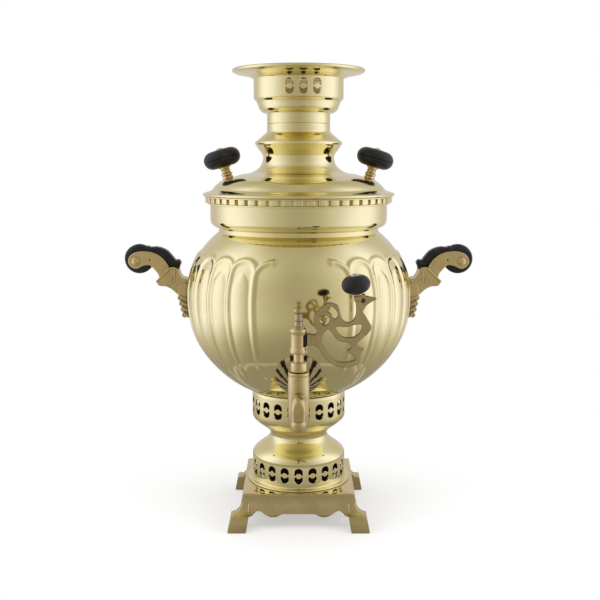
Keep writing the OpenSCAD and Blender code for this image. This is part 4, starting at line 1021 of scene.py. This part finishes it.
def knob_outline(r, t, groove):
    """Half section of a turned knob with a full round edge and a fine groove."""
    edge = arc(r - t * 0.52, t / 2, t * 0.52, t / 2, -90, 90, 28)
    if groove:
        mid = t / 2
        edge = [(x, z) for x, z in edge if abs(z - mid) > groove]
        at = next(i for i, p in enumerate(edge) if p[1] > mid)
        edge[at:at] = [(r, mid - groove), (r - groove, mid), (r, mid + groove)]
    return [(0, 0.6), (r * 0.3, 0.1)] + edge + [(r * 0.34, t), (r * 0.26, t - 0.5), (0, t - 0.5)]


def screw_head(r, rise, ball):
    """Domed screw head, as a half section to turn."""
    low = ball - rise
    start = math.asin(low / ball)
    dome = [(ball * math.cos(start + (math.pi / 2 - start) * k / 10) * r / math.sqrt(ball ** 2 - low ** 2),
             ball * math.sin(start + (math.pi / 2 - start) * k / 10) - low) for k in range(11)]
    return [(0, -0.6), (r - 0.3, -0.6), (r, -0.3), (r, 0.0)] + dome[1:]


for side, word in ((1, "right"), (-1, "left")):
    solid(f"{word}_turned_stem", [placed(spin(stem_outline, 64), on_cone(side))], turned_bronze, "lid",
          [f"{word}_lid_stem"])
    solid(f"{word}_knob", [placed(spin(knob_outline(KNOB_R, KNOB_T, 0.5), 96), on_cone(side, KNOB_LOW))],
          black_plastic, "lid", [f"{word}_lid_knob"])
    solid(f"{word}_knob_screw", [placed(spin(screw_head(4.8, 1.8, 7.5), 48),
                                        on_cone(side, KNOB_LOW + KNOB_T))],
          polished_brass, "lid", [f"{word}_lid_knob_screw"])
dress(["left_lid_stem_nut", "right_lid_stem_nut"], steel)


# ---- Crown ------------------------------------------------------------------
# The teapot stand: spun brass with a pierced wall for the draught and a wide
# rolled rim. Its skirt drops into the fire tube, so it lifts straight off.

CROWN_R, CROWN_RIM, CROWN_WALL, CROWN_NECK, SKIRT = 46.5, 68.6, 18.2, 10.3, 9.0
CROWN_Z = LID_Z + LID_H + 0.1
CUP_Z = CROWN_Z + CROWN_NECK + 16.2
CROWN_TOP = CUP_Z + CROWN_WALL
low_cup = ([(NECK_R, CROWN_Z + 0.3), (NECK_R, CROWN_Z + CROWN_NECK)]
           + arc(NECK_R, CROWN_Z + CROWN_NECK + 10, 9.4, 10, -80, -10, 12)
           + soften([(CROWN_R - 3.2, CUP_Z - 5), (CROWN_R - 2.8, CUP_Z - 4), (CROWN_R - 0.8, CUP_Z - 2),
                     (CROWN_R, CUP_Z - 0.6), (CROWN_R, CUP_Z)], 0.6, 3, closed=False))
flare = soften([(CROWN_R, CROWN_TOP), (CROWN_R + 0.3, CROWN_TOP + 0.9), (CROWN_R + 2.2, CROWN_TOP + 2),
                (CROWN_R + 7.2, CROWN_TOP + 3.9), (CROWN_RIM - 3, CROWN_TOP + 6.2),
                (CROWN_RIM - 1.6, CROWN_TOP + 7.6)], 1.6, 5, closed=False)
low_inside, flare_inside = inner_line(low_cup), inner_line(flare)
low_inside[0] = (NECK_R - SHEET, CROWN_Z + 0.3)
low_inside[-1], flare_inside[0] = (CROWN_R - SHEET, CUP_Z), (CROWN_R - SHEET, CROWN_TOP)
crown_figures = [(6 + g * 120 + k * 17.6, CUP_Z + CROWN_WALL / 2, HOLE_W, 15.6)
                 for g in range(3) for k in (-1, 0, 1)]
rim_bead = arc(CROWN_RIM - 1.8, CROWN_TOP + 9, 1.8, 1.8, 0, 345, 18)
skirt_r = TUBE_R - SHEET - 0.5
skirt = soften([(skirt_r - SHEET, CROWN_Z - SKIRT), (skirt_r, CROWN_Z - SKIRT), (skirt_r, CROWN_Z),
                (NECK_R - 0.4, CROWN_Z), (NECK_R - 0.4, CROWN_Z + SHEET), (skirt_r - SHEET, CROWN_Z + SHEET)],
               0.4, 3)
foot_edge = strip([low_cup[0], (NECK_R - 0.3, CROWN_Z), (NECK_R - SHEET, CROWN_Z), low_inside[0]])
crown = merged(strip(low_cup), strip(low_inside), foot_edge, strip(flare), strip(flare_inside),
               strip([flare[-1], flare_inside[-1]]),
               pierced_drum(CROWN_R, CUP_Z, CROWN_TOP, crown_figures, 51, rows=7))
solid("teapot_crown", [crown, spin(rim_bead, 224), spin(skirt, 160)], polished_brass, "crown",
      ["crown"], sharp=42, areas=[(heat_brass, faces_axis)])


# ---- Tap --------------------------------------------------------------------
# A cast plug tap. Its shank passes through a scallop-shell escutcheon into the
# vessel, where a seat, a fibre ring and a nut hold it. The spout bends down in
# front of the upright barrel and is filed flat along its face.

KEY_Y, SHANK_Z = 171.0, 170.0
BARREL_R, BARREL_LOW, BARREL_TOP = 9.6, 147.0, 193.0
SPOUT_Y, SPOUT_LOW, MOUTH_R = 188.0, 144.0, 5.5
TONGUE_Y = 193.1            # the flat filed along the front of the spout
ESCUTCHEON_R, ESCUTCHEON_UP, HINGE_DROP = 23.0, 2.5, 17.0     # its middle and hinge against the shank
SHELL_RIBS, SHELL_SPREAD = 15, 236.0        # ribs of the shell and the degrees they fan over
PLUG_TOP, COLLAR_TOP, SLEEVE_LOW, SLEEVE_TOP = 193.4, 202.0, 210.4, 232.7

SQUARE_ON = Matrix.Rotation(math.pi / 2, 4, "X")
along_shank = Matrix.Translation((0, 0, SHANK_Z)) @ SQUARE_ON
at_key = Matrix.Translation((0, -KEY_Y, 0))


def bent_tube(points, radii, columns=44):
    """A round bar in the plane x = 0 through points of (y, z), closed at both ends."""
    rings = []
    for k, (y, z) in enumerate(points):
        side, ring = left_of(points, k) * radii[k], []
        for i in range(columns):
            a = 2 * math.pi * i / columns
            ring.append((radii[k] * math.cos(a), y + side.x * math.sin(a), z + side.y * math.sin(a)))
        rings.append(ring)
    return tube(rings)


barrel = soften([(0, BARREL_LOW + 1.4), (6.6, BARREL_LOW + 1.4), (6.6, BARREL_LOW), (BARREL_R, BARREL_LOW),
                 (BARREL_R, BARREL_TOP - 3.6), (BARREL_R - 0.35, BARREL_TOP - 3.3),
                 (BARREL_R - 0.35, BARREL_TOP - 2.9), (BARREL_R, BARREL_TOP - 2.6), (BARREL_R, BARREL_TOP),
                 (0, BARREL_TOP)], 0.9, 4)
shank = soften([(0, 90), (8.4, 90), (8.4, 99.2), (10.6, 99.8), (10.6, 102.8), (9.0, 103.6), (8.2, 106),
                (7.8, 130), (8.2, 154), (9.2, 157), (9.2, 160), (8, 162), (0, 162)], 0.8, 4)
elbow = ([(-KEY_Y - 3, SHANK_Z - 1.2), (-KEY_Y - 8, SHANK_Z - 1.2)]
         + arc(-SPOUT_Y + 8, SHANK_Z - 9.2, 8, 8, 90, 180, 12)
         + [(-SPOUT_Y, SHANK_Z - 14), (-SPOUT_Y, SPOUT_LOW + 7.2)])
spout_verts, spout_faces = bent_tube(elbow, [6.9, 6.9] + [6.9 - 0.03 * k for k in range(13)] + [6.5, 6.5])


def filed(x, y, z):
    """A place on the spout once its front is filed to a flat that leans back a little upwards."""
    lean = 0.05 * (z - SPOUT_LOW - 8) if z < SHANK_Z + 2 else 0
    return x, max(y, -TONGUE_Y + lean), z


spout_verts = [filed(*v) for v in spout_verts]
nozzle = raised(soften([(MOUTH_R, 7.5), (MOUTH_R, 0.5), (MOUTH_R + 0.4, 0), (7.0, 0), (7.15, 6.6), (6.6, 7.6),
                        (6.3, 8.6), (0, 8.6), (0, 7.5)], 0.5), SPOUT_LOW)
# Much of the tap's dark is painted shade: its high share puts the dark colour in every hollow and seam
cast_tap = skinned_metal("cast tap brass", cast_skin, 0.22, 0.0004, Metal=(0.60, 0.47, 0.20, 1),
                         Grime=(0.10, 0.06, 0.02, 1), Grime_share=0.95, Reach=0.005, Grain=1100.0,
                         Smooth=0.11, Dull=0.24)
solid("tap_casting", [placed(spin(barrel, 72), at_key), placed(spin(shank, 72), along_shank),
                      (spout_verts, spout_faces),
                      placed(spin(nozzle, 56), Matrix.Translation((0, -SPOUT_Y, 0)))],
      cast_tap, "samovar", ["tap_body"], sharp=34)


def shell_crest(turn):
    """Height of the ribs, 1 on a rib and 0 in a groove, by the degrees from straight up."""
    if abs(turn) > SHELL_SPREAD / 2:
        return 0.5
    return 1 - abs(2 * ((turn / SHELL_SPREAD * SHELL_RIBS + 0.5) % 1.0) - 1) ** 4


def on_globe(x, z, lift):
    """A place over the globe, measured from the shank."""
    near = globe_r_at(SHANK_Z + z)
    slope = globe_r_at(SHANK_Z + z + 0.5) - globe_r_at(SHANK_Z + z - 0.5)
    out = Vector((1, -slope)).normalized() * lift
    return round_axis(near + out.x, SHANK_Z + z + out.y, x / near)


rib_turn = SHELL_SPREAD / SHELL_RIBS
GROOVE_HALF = 0.23          # part of a rib's width that its groove takes at each side
turns = [-SHELL_SPREAD / 2 + rib_turn * (k + part) for k in range(SHELL_RIBS)
         for part in (0, 0.1, GROOVE_HALF, 0.27, 0.33, 0.4, 0.5, 0.6, 0.67, 0.73, 1 - GROOVE_HALF, 0.9)]
turns += [SHELL_SPREAD / 2 + (360 - SHELL_SPREAD) * k / 30 for k in range(30)]
hinge_down, shell_rows = HINGE_DROP + ESCUTCHEON_UP, 34
shell_verts = []
for turn in turns:
    t = math.radians(turn)
    crest = shell_crest((turn + 180) % 360 - 180)
    reach = hinge_down * math.cos(t) + math.sqrt(ESCUTCHEON_R ** 2 - (hinge_down * math.sin(t)) ** 2)
    reach *= 0.955 + 0.045 * crest
    for j in range(shell_rows + 2):
        out = reach * (0.03 + 0.97 * min(1.0, j / shell_rows))
        x, z = out * math.sin(t), out * math.cos(t) - HINGE_DROP
        inside = min(1.0, math.hypot(x, z - ESCUTCHEON_UP) / ESCUTCHEON_R)
        lift = 0.6 + 3.9 * (1 - inside ** 2.4) + 1.5 * crest * ramp(out / reach, 0.05, 0.4)
        shell_verts.append(on_globe(x, z, lift if j <= shell_rows else 0.05))
row = shell_rows + 2
shell_faces = wrapped(len(turns), row) + [tuple(i * row for i in range(len(turns)))]


def in_groove(normal, centre):
    """Faces in the grooves between the shell's ribs, by their turn round its hinge."""
    turn = math.degrees(math.atan2(math.atan2(centre.x, -centre.y) * globe_r_at(centre.z),
                                   centre.z - SHANK_Z + HINGE_DROP))
    part = (turn / rib_turn + SHELL_RIBS / 2) % 1.0
    return abs(turn) < SHELL_SPREAD / 2 and min(part, 1 - part) < GROOVE_HALF


shell_brass = skinned_metal("cast shell brass", cast_skin, 0.15, 0.0003, Metal=(0.72, 0.61, 0.34, 1),
                            Grime=(0.10, 0.07, 0.03, 1), Grime_share=0.8, Reach=0.002, Grain=1500.0,
                            Smooth=0.14, Dull=0.26)
# The near-black faces in the grooves between the ribs are painted shade
groove_shade = skinned_metal("painted groove shade", cast_skin, 0.15, 0.0003, Metal=(0.06, 0.045, 0.025, 1),
                             Grime=(0.02, 0.015, 0.01, 1), Grime_share=0.8, Reach=0.002, Grain=1500.0,
                             Smooth=0.4, Dull=0.6)
solid("scallop_escutcheon", [(shell_verts, shell_faces)], shell_brass, "samovar",
      ["tap_escutcheon"], sharp=60, areas=[(groove_shade, in_groove)])
dress(["tap_seat"], satin_cast_brass)
dress(["tap_nut"], polished_brass)
fibre = skinned_metal("black fibre", moulded_skin, 0.3, 0.0004, metallic=0.0,
                      Body=(0.03, 0.028, 0.026, 1), Worn=(0.06, 0.055, 0.05, 1), Smooth=0.6, Dull=0.85)
dress(["tap_gasket"], fibre)


# ---- Tap key ----------------------------------------------------------------
# A tapered plug carries a turned sleeve and finial on its spindle. The flat cast
# cockerel, a traditional key pattern, hooks into the sleeve's window by its lug
# and has a black knob on its comb, so that nobody touches hot metal.

# The turned parts take a high share of the dark colour: painted shade in their grooves and corners
turned_satin = skinned_metal("turned satin brass", spun_polish, 0.06, 0.0002, Metal=(0.64, 0.51, 0.23, 1),
                             Tarnish=(0.16, 0.10, 0.04, 1), Tarnish_share=0.95, Smooth=0.12, Dull=0.22,
                             Rings=1.3, Waves=0.2)
plug = soften([(0, BARREL_LOW + 4.2), (5.5, BARREL_LOW + 4.2), (6.2, PLUG_TOP - 0.2), (6.4, PLUG_TOP),
               (7.3, PLUG_TOP), (7.3, COLLAR_TOP), (4.5, COLLAR_TOP), (4.5, SLEEVE_LOW), (2.4, SLEEVE_LOW),
               (2.4, SLEEVE_TOP + 12), (0, SLEEVE_TOP + 12)], 0.5, 3)
solid("turned_plug", [placed(spin(plug, 64), at_key)], turned_satin, "tap_key", ["tap_plug"])


def part_spin(outline, start, end, steps=60):
    """A closed outline turned through part of a circle, with flat ends; 0 faces the front."""
    places = [math.radians(start + (end - start) * k / steps) for k in range(steps + 1)]
    return tube([[round_axis(r, z, a) for r, z in outline] for a in places])


SLEEVE_R, SLEEVE_FLANGE, FLANGE_HIGH = 7.2, 7.9, 4.4
WINDOW_LOW, WINDOW_TOP = SLEEVE_LOW + 6, SLEEVE_TOP - 5.4
lower_flange = soften([(2.5, SLEEVE_LOW), (SLEEVE_FLANGE, SLEEVE_LOW), (SLEEVE_FLANGE, SLEEVE_LOW + 3.4),
                       (SLEEVE_R, SLEEVE_LOW + FLANGE_HIGH), (SLEEVE_R, WINDOW_LOW + 0.2),
                       (2.5, WINDOW_LOW + 0.2)], 0.6)
upper_flange = soften([(2.5, WINDOW_TOP - 0.2), (SLEEVE_R, WINDOW_TOP - 0.2),
                       (SLEEVE_R, SLEEVE_TOP - FLANGE_HIGH), (SLEEVE_FLANGE, SLEEVE_TOP - 3.4),
                       (SLEEVE_FLANGE, SLEEVE_TOP), (2.5, SLEEVE_TOP)], 0.6)
wall = [(5.2, WINDOW_LOW), (SLEEVE_R, WINDOW_LOW), (SLEEVE_R, WINDOW_TOP), (5.2, WINDOW_TOP)]
solid("turned_sleeve", [placed(spin(lower_flange, 64), at_key), placed(spin(upper_flange, 64), at_key),
                        placed(part_spin(wall, 112, 393), at_key)],
      turned_satin, "tap_key", ["key_sleeve"])
# The window's floor and the lug's tongue inside it are near-black: painted shade in the sleeve's window
window_floor = soften([(2.5, WINDOW_LOW), (5.1, WINDOW_LOW), (5.1, WINDOW_TOP), (2.5, WINDOW_TOP)], 0.3, 2)
slot_shade = skinned_metal("shadowed slot", cast_skin, 0.2, 0.0003, metallic=0.0,
                              Metal=(0.018, 0.014, 0.010, 1), Grime=(0.008, 0.006, 0.005, 1),
                              Grime_share=0.8, Reach=0.003, Grain=1200.0, Smooth=0.5, Dull=0.7)
tongue = rounded_box((4.0, -1.7, 6.7), (7.8, 1.7, 16.5), 0.4)
at_sleeve = Matrix.Translation((0, -KEY_Y, SLEEVE_LOW))
solid("sleeve_slot", [placed(spin(window_floor, 48), at_key), placed(tongue, at_sleeve)], slot_shade,
      "tap_key", [])
finial = soften([(0, 0), (7.4, 0), (6.6, 1.2), (4.6, 2.6), (4.2, 4.6), (4.3, 5.6), (3.7, 6.2), (4.6, 7.0),
                 (4.6, 8.0), (3.5, 8.9), (3.4, 12.6), (3.7, 13.4), (4.6, 14.2), (4.7, 16.8), (4.2, 18),
                 (1.5, 17.4), (0, 17.4)], 0.55, 3)
# The finial's brass is darker still, with the same painted shade in its grooves
dull_satin = skinned_metal("dull turned brass", spun_polish, 0.06, 0.0002, Metal=(0.46, 0.37, 0.18, 1),
                           Tarnish=(0.12, 0.08, 0.03, 1), Tarnish_share=0.95, Smooth=0.14, Dull=0.24,
                           Rings=1.3, Waves=0.2)
solid("turned_finial", [placed(spin(raised(finial, SLEEVE_TOP), 56), at_key)], dull_satin, "tap_key",
      ["key_finial"])


def smooth(points, steps=6):
    """Smooth closed curve through points."""
    out, n = [], len(points)
    for i in range(n):
        a, b, c, d = (Vector(points[(i + k) % n]) for k in (-1, 0, 1, 2))
        for k in range(steps):
            t = k / steps
            out.append(tuple(0.5 * (2 * b + (c - a) * t + (2 * a - 5 * b + 4 * c - d) * t * t
                                    + (3 * b - a - 3 * c + d) * t ** 3)))
    return out


def plate(outlines, thickness, edge, rounds=2):
    """A flat plate with rounded edges, square to Y, from outlines of (x, z); later ones are holes."""
    curve = bpy.data.curves.new("outline", "CURVE")
    curve.dimensions, curve.fill_mode = "2D", "BOTH"
    curve.extrude = (thickness / 2 - edge) * MM
    curve.bevel_depth, curve.offset, curve.bevel_resolution = edge * MM, -edge * MM, rounds
    for outline in outlines:
        line = curve.splines.new("POLY")
        line.points.add(len(outline) - 1)
        line.use_cyclic_u = True
        for point, (x, z) in zip(line.points, outline):
            point.co = (x * MM, z * MM, 0, 1)
    holder = bpy.data.objects.new("outline", curve)
    mesh = bpy.data.meshes.new_from_object(holder)
    verts = [(v.co.x / MM, -v.co.z / MM, v.co.y / MM) for v in mesh.vertices]
    faces = [tuple(p.vertices) for p in mesh.polygons]
    bpy.data.objects.remove(holder)
    bpy.data.curves.remove(curve)
    bpy.data.meshes.remove(mesh)
    return verts, faces


def disc_2d(cx, cz, r, steps=40):
    return [(cx + r * math.cos(2 * math.pi * k / steps), cz + r * math.sin(2 * math.pi * k / steps))
            for k in range(steps)]


# The cockerel in its ring: distance from the spindle and height over the sleeve's foot
COCKEREL = [(14.7, 16.5), (17, 19.6), (14.7, 23), (13.3, 28.5), (13.7, 32.8), (15.3, 36.2),
            (18.7, 39.6), (24.7, 44.3), (29, 45.2), (34.8, 42.4), (36.9, 35.5), (38.3, 31.4), (40.7, 28.7),
            (43.8, 27.6), (47.2, 28.7), (49.8, 32.1), (50.8, 36.2), (50.7, 42.4), (49.6, 47.9), (48.6, 50.8),
            (52.5, 52), (58.2, 53.2), (58.8, 51.6), (61.8, 50.9), (68.8, 48.9), (64.5, 46.1), (60.2, 43.1),
            (58, 39.6), (57, 36.9), (60, 32.1), (62.8, 27.3), (64.5, 23.8), (63.5, 20.4), (60.8, 16.9),
            (56.8, 13.5), (52.8, 10), (52.1, 7.2), (53.2, 5.5), (57.9, 3.9), (55.9, 1), (55.3, -2.4),
            (54.3, -7.4), (50.9, -10.8), (46.1, -12.6), (39.7, -13), (32.4, -11.5), (26.2, -7.4),
            (21.5, -1.8), (18.1, 3.7), (15.3, 6.5), (12.5, 7.6), (12.5, 15.4)]
RING_WINDOW = [(22, 17.6), (25.7, 21.4), (28.9, 19), (32.3, 14.1), (35.8, 11), (40, 10), (45.4, 9),
               (46.5, 6), (46, 4), (43.4, 1.8), (45.4, -0.4), (49.4, -2.5), (50.1, -6), (46, -7.7),
               (40, -8.4), (33.8, -7.4), (28.6, -3.4), (24.2, 2.8), (21, 8.2), (20.6, 13.7)]
BELLY_WINDOW = [(33.5, 23.6), (42.5, 23.5), (49.3, 25.3), (55.2, 25.6), (55.7, 21.7), (53.7, 17.6),
                (49.6, 14.8), (43.8, 13.8), (39.1, 14.8), (35, 18.3)]
TAIL_WINDOW = [(28, 41.7), (31.5, 40.3), (34.3, 36.2), (34.4, 32.8), (32.6, 30.7), (30.1, 32.1),
               (28.6, 35.5), (25, 38)]
KNOB_SEAT, KNOB_LEAN, KEY_KNOB_R, KEY_KNOB_T, KEY_COLLAR_H = (51.9, 51.5), 8.0, 12.8, 16.0, 2.0
EYE_AT, RING_HOLE_AT = (56.8, 47.1), (23.1, 29.4)

key_brass = skinned_metal("worn key brass", cast_skin, 0.16, 0.0003, Metal=(0.57, 0.46, 0.215, 1),
                          Grime=(0.09, 0.06, 0.025, 1), Grime_share=0.9, Reach=0.0035, Grain=1300.0,
                          Smooth=0.16, Dull=0.32)
cockerel = plate([smooth(COCKEREL, 5), smooth(RING_WINDOW, 5), smooth(BELLY_WINDOW), smooth(TAIL_WINDOW),
                  disc_2d(*RING_HOLE_AT, 4.6), disc_2d(*EYE_AT, 1.8, 24)], 5.0, 0.7)
lug = rounded_box((7.4, -2.9, 6.9), (11.2, 2.9, 17.2), 0.5)
neck = rounded_box((10.8, -2.45, 7.4), (14.6, 2.45, 16.6), 0.5)
knob_boss = rounded_box((-3.4, -2.9, -5.0), (3.4, 2.9, 0.0), 0.8)
at_comb = at_sleeve @ Matrix.Translation((KNOB_SEAT[0], 0, KNOB_SEAT[1])) @ Matrix.Rotation(
    math.radians(-KNOB_LEAN), 4, "Y")
# The plate's edges carry dark patina and painted shade; its two faces keep the plain key brass
edge_patina_and_shade = skinned_metal("dark key edge", cast_skin, 0.16, 0.0003, Metal=(0.16, 0.12, 0.06, 1),
                            Grime=(0.05, 0.035, 0.015, 1), Grime_share=0.9, Reach=0.0035, Grain=1300.0,
                            Smooth=0.25, Dull=0.45)
solid("cockerel_plate", [placed(shape, at_sleeve) for shape in (cockerel, lug, neck)]
      + [placed(knob_boss, at_comb)],
      key_brass, "tap_key", ["key_plate"], sharp=40, weighted=True,
      areas=[(edge_patina_and_shade, lambda normal, centre: abs(normal.y) < 0.85)])
# A near-black disc fills the eye hole: painted shade inside the hole
eye = spin(soften([(0, -2.9), (1.5, -2.8), (2.2, -2.4), (1.8, -2.2), (1.8, 2.2), (2.2, 2.4), (1.5, 2.8),
                   (0, 2.9)], 0.2), 32)
solid("cockerel_eye", [placed(eye, at_sleeve @ Matrix.Translation((EYE_AT[0], 0, EYE_AT[1])) @ SQUARE_ON)],
      slot_shade, "tap_key", [])
comb_collar = soften([(1.6, 0), (4.4, 0), (5.2, 0.8), (5.2, 1.5), (4.6, 2), (1.6, 2)], 0.3, 3)
solid("comb_collar", [placed(spin(comb_collar, 40), at_comb)], turned_bronze, "tap_key",
      ["key_knob_collar"])
solid("comb_knob", [placed(spin(knob_outline(KEY_KNOB_R, KEY_KNOB_T, 0), 96),
                           at_comb @ Matrix.Translation((0, 0, KEY_COLLAR_H)))],
      black_plastic, "tap_key", ["key_knob"])
blue_steel = skinned_metal("zinc steel", cast_skin, 0.05, 0.0002, Metal=(0.56, 0.63, 0.70, 1),
                           Grime=(0.25, 0.26, 0.28, 1), Grime_share=0.4, Reach=0.002, Grain=2200.0,
                           Smooth=0.18, Dull=0.3)
solid("comb_screw", [placed(spin(screw_head(4.2, 2.1, 5.2), 44),
                            at_comb @ Matrix.Translation((0, 0, KEY_COLLAR_H + KEY_KNOB_T - 0.3)))],
      blue_steel, "tap_key", ["key_knob_screw"])
dress(["plug_washer", "plug_screw"], steel)


# ---- Handles ----------------------------------------------------------------
# Each handle is a black moulded grip with a rolled end, held by a through bolt
# between two brass cheeks that grow from a cast horn. The horn stands on a
# ribbed foot, screwed to the vessel from inside.

GRIP_T, CHEEK_T, ROLL_R = 14.0, 3.0, 15.5
FORK = GRIP_T + 0.2
HORN_T, FOOT_T = FORK + 2 * CHEEK_T, 24.0
ROLL_AT, BOLT_AT, PIN_AT = (51.3, 37.2), (54.1, 35.2), (39.3, 36.7)
RIBS, RIB_R, RIB_AT, RIB_STEP, RIB_TILT = 4, 2.9, (7.6, -3.1), (-1.4, -6.09), -16
# Outlines: distance out from the globe and height from its widest level
CHEEK = [(19.3, 28.6), (21.2, 32.9), (24.6, 37.5), (30.1, 42), (36.1, 44.6), (42.1, 45.6), (49.1, 45.8),
         (55.2, 44.3), (59.8, 41), (61.9, 37), (61.7, 32.9), (58.6, 28.9), (54.6, 27.2), (51.1, 27.9),
         (47.5, 29.7), (43.4, 30.9), (39.4, 30.9), (37.4, 29.4), (33.5, 25.3), (31, 21.8), (28.6, 17),
         (24.4, 20)]
HORN = [(-0.6, 15.2), (2.6, 17), (5.8, 17.8), (8.4, 21.2), (9.7, 25.6), (12.1, 28.9), (19.3, 28.6),
        (25.5, 21.6), (30.9, 15), (32, 11.4), (28.8, 9), (22.7, 8.5), (16.7, 5.5), (10.8, 0.3), (7, -3),
        (5.5, -9), (4.2, -15), (2.6, -22), (-5.5, -23), (-7.5, 13.6)]
GRIP = [(44, 49.5), (38.8, 49.6), (32.7, 50), (25.7, 48), (20.7, 45), (16.8, 40.6), (13, 36), (10.4, 36.5),
        (8, 34.8), (7.4, 32.4), (8.9, 28.9), (9.4, 26.6), (10.9, 26), (12.6, 28.6), (19.5, 29.2), (24, 33),
        (28.5, 36.5), (33, 34.5), (40.5, 32.4), (48.5, 31)]

handle_plane = Matrix.Translation((GLOBE_R, 0, GLOBE_Z))
foot_levels = [12.0 - 34.0 * k / 10 for k in range(11)]
foot_outline = ([(globe_r_at(GLOBE_Z + z) - GLOBE_R - 1.0, z) for z in foot_levels]
                + [(2.8, -22.2), (4.2, -15), (5.5, -9), (7, -3), (9.2, -0.6), (9.4, 8), (6, 12.6)])
horn_brass = skinned_metal("cast horn brass", cast_skin, 0.22, 0.0005, Metal=(0.66, 0.53, 0.24, 1),
                           Grime=(0.11, 0.07, 0.03, 1), Grime_share=0.95, Reach=0.0045, Grain=1000.0,
                           Smooth=0.15, Dull=0.32)
grip = [plate([smooth(GRIP, 5)], GRIP_T, 2.4, 3),
        placed(spin(soften([(0, -GRIP_T / 2), (ROLL_R, -GRIP_T / 2), (ROLL_R, GRIP_T / 2), (0, GRIP_T / 2)],
                           5.0, 8), 96), Matrix.Translation((ROLL_AT[0], 0, ROLL_AT[1])) @ SQUARE_ON)]
cheeks = [placed(plate([smooth(CHEEK, 5), disc_2d(*PIN_AT, 0.7, 14)], CHEEK_T, 0.8),
                 Matrix.Translation((0, side * (FORK + CHEEK_T) / 2, 0))) for side in (-1, 1)]
lip_lean = Matrix.Translation((25.4, 0, 20.6)) @ Matrix.Rotation(math.radians(-45.5), 4, "Y")
horn = [plate([smooth(HORN, 4)], HORN_T + 1.2, 1.2, 3), plate([foot_outline], FOOT_T, 0.9),
        placed(rounded_box((-1.1, -HORN_T / 2 - 1.5, -10.5), (1.1, HORN_T / 2 + 1.5, 9.5), 0.9), lip_lean)]
for x, wide, low, high in ((12.3, 1.9, 13.0, 27.6), (16.0, 1.2, 10.5, 19.0)):
    for face in (-HORN_T / 2 - 0.6, HORN_T / 2 + 0.6):
        horn.append(rounded_box((x, face - 0.9, low), (x + wide, face + 0.9, high), 0.5))
# Ribs turned across the foot and carried round its sides, each a little lower and further in
rib = soften([(0, -FOOT_T / 2 - 1.4), (RIB_R - 0.6, -FOOT_T / 2 - 1.4), (RIB_R, -FOOT_T / 2 - 0.6),
              (RIB_R, FOOT_T / 2 + 0.6), (RIB_R - 0.6, FOOT_T / 2 + 1.4), (0, FOOT_T / 2 + 1.4)], 0.9, 4)
tilted = Matrix.Rotation(math.radians(RIB_TILT), 4, "Y")
for k in range(RIBS):
    rib_at = Matrix.Translation((RIB_AT[0] + RIB_STEP[0] * k, 0, RIB_AT[1] + RIB_STEP[1] * k))
    horn.append(placed(spin(rib, 36), rib_at @ SQUARE_ON))
    for side in (-FOOT_T / 2, FOOT_T / 2):
        bar = rounded_box((-8.6 + 0.8 * k, side - 1.5, -1.7), (0.6, side + 1.5, 1.9), 1.3)
        horn.append(placed(bar, rib_at @ tilted))
bolt_head = soften([(0, 0), (4.7, 0), (4.7, 0.8), (4.2, 1.3), (3.3, 1.3), (3.1, 1.9), (1.8, 2.5), (0, 2.6)],
                   0.35)
bolt = [placed(spin(bolt_head, 48), Matrix.Translation((BOLT_AT[0], 0, BOLT_AT[1]))
               @ Matrix.Rotation(math.radians(turn), 4, "X") @ Matrix.Translation((0, 0, HORN_T / 2)))
        for turn in (90, -90)]
for word, turn in (("right", 0), ("left", 180)):
    where = Matrix.Rotation(math.radians(turn), 4, "Z") @ handle_plane
    for name, shapes, material, slot, node in (
            ("grip", grip, black_plastic, "black_plastic", "handle_grip"),
            ("horn", horn + cheeks, horn_brass, "cast_brass", "handle_bracket"),
            ("rivet", bolt, horn_brass, "sheet_brass", "handle_bolt")):
        solid(f"{word}_{name}", [placed(shape, where) for shape in shapes], material, "samovar",
              [f"{word}_{node}"], sharp=42, weighted=name == "horn")
dress(["left_handle_screws", "right_handle_screws", "left_handle_washers", "right_handle_washers"], steel)
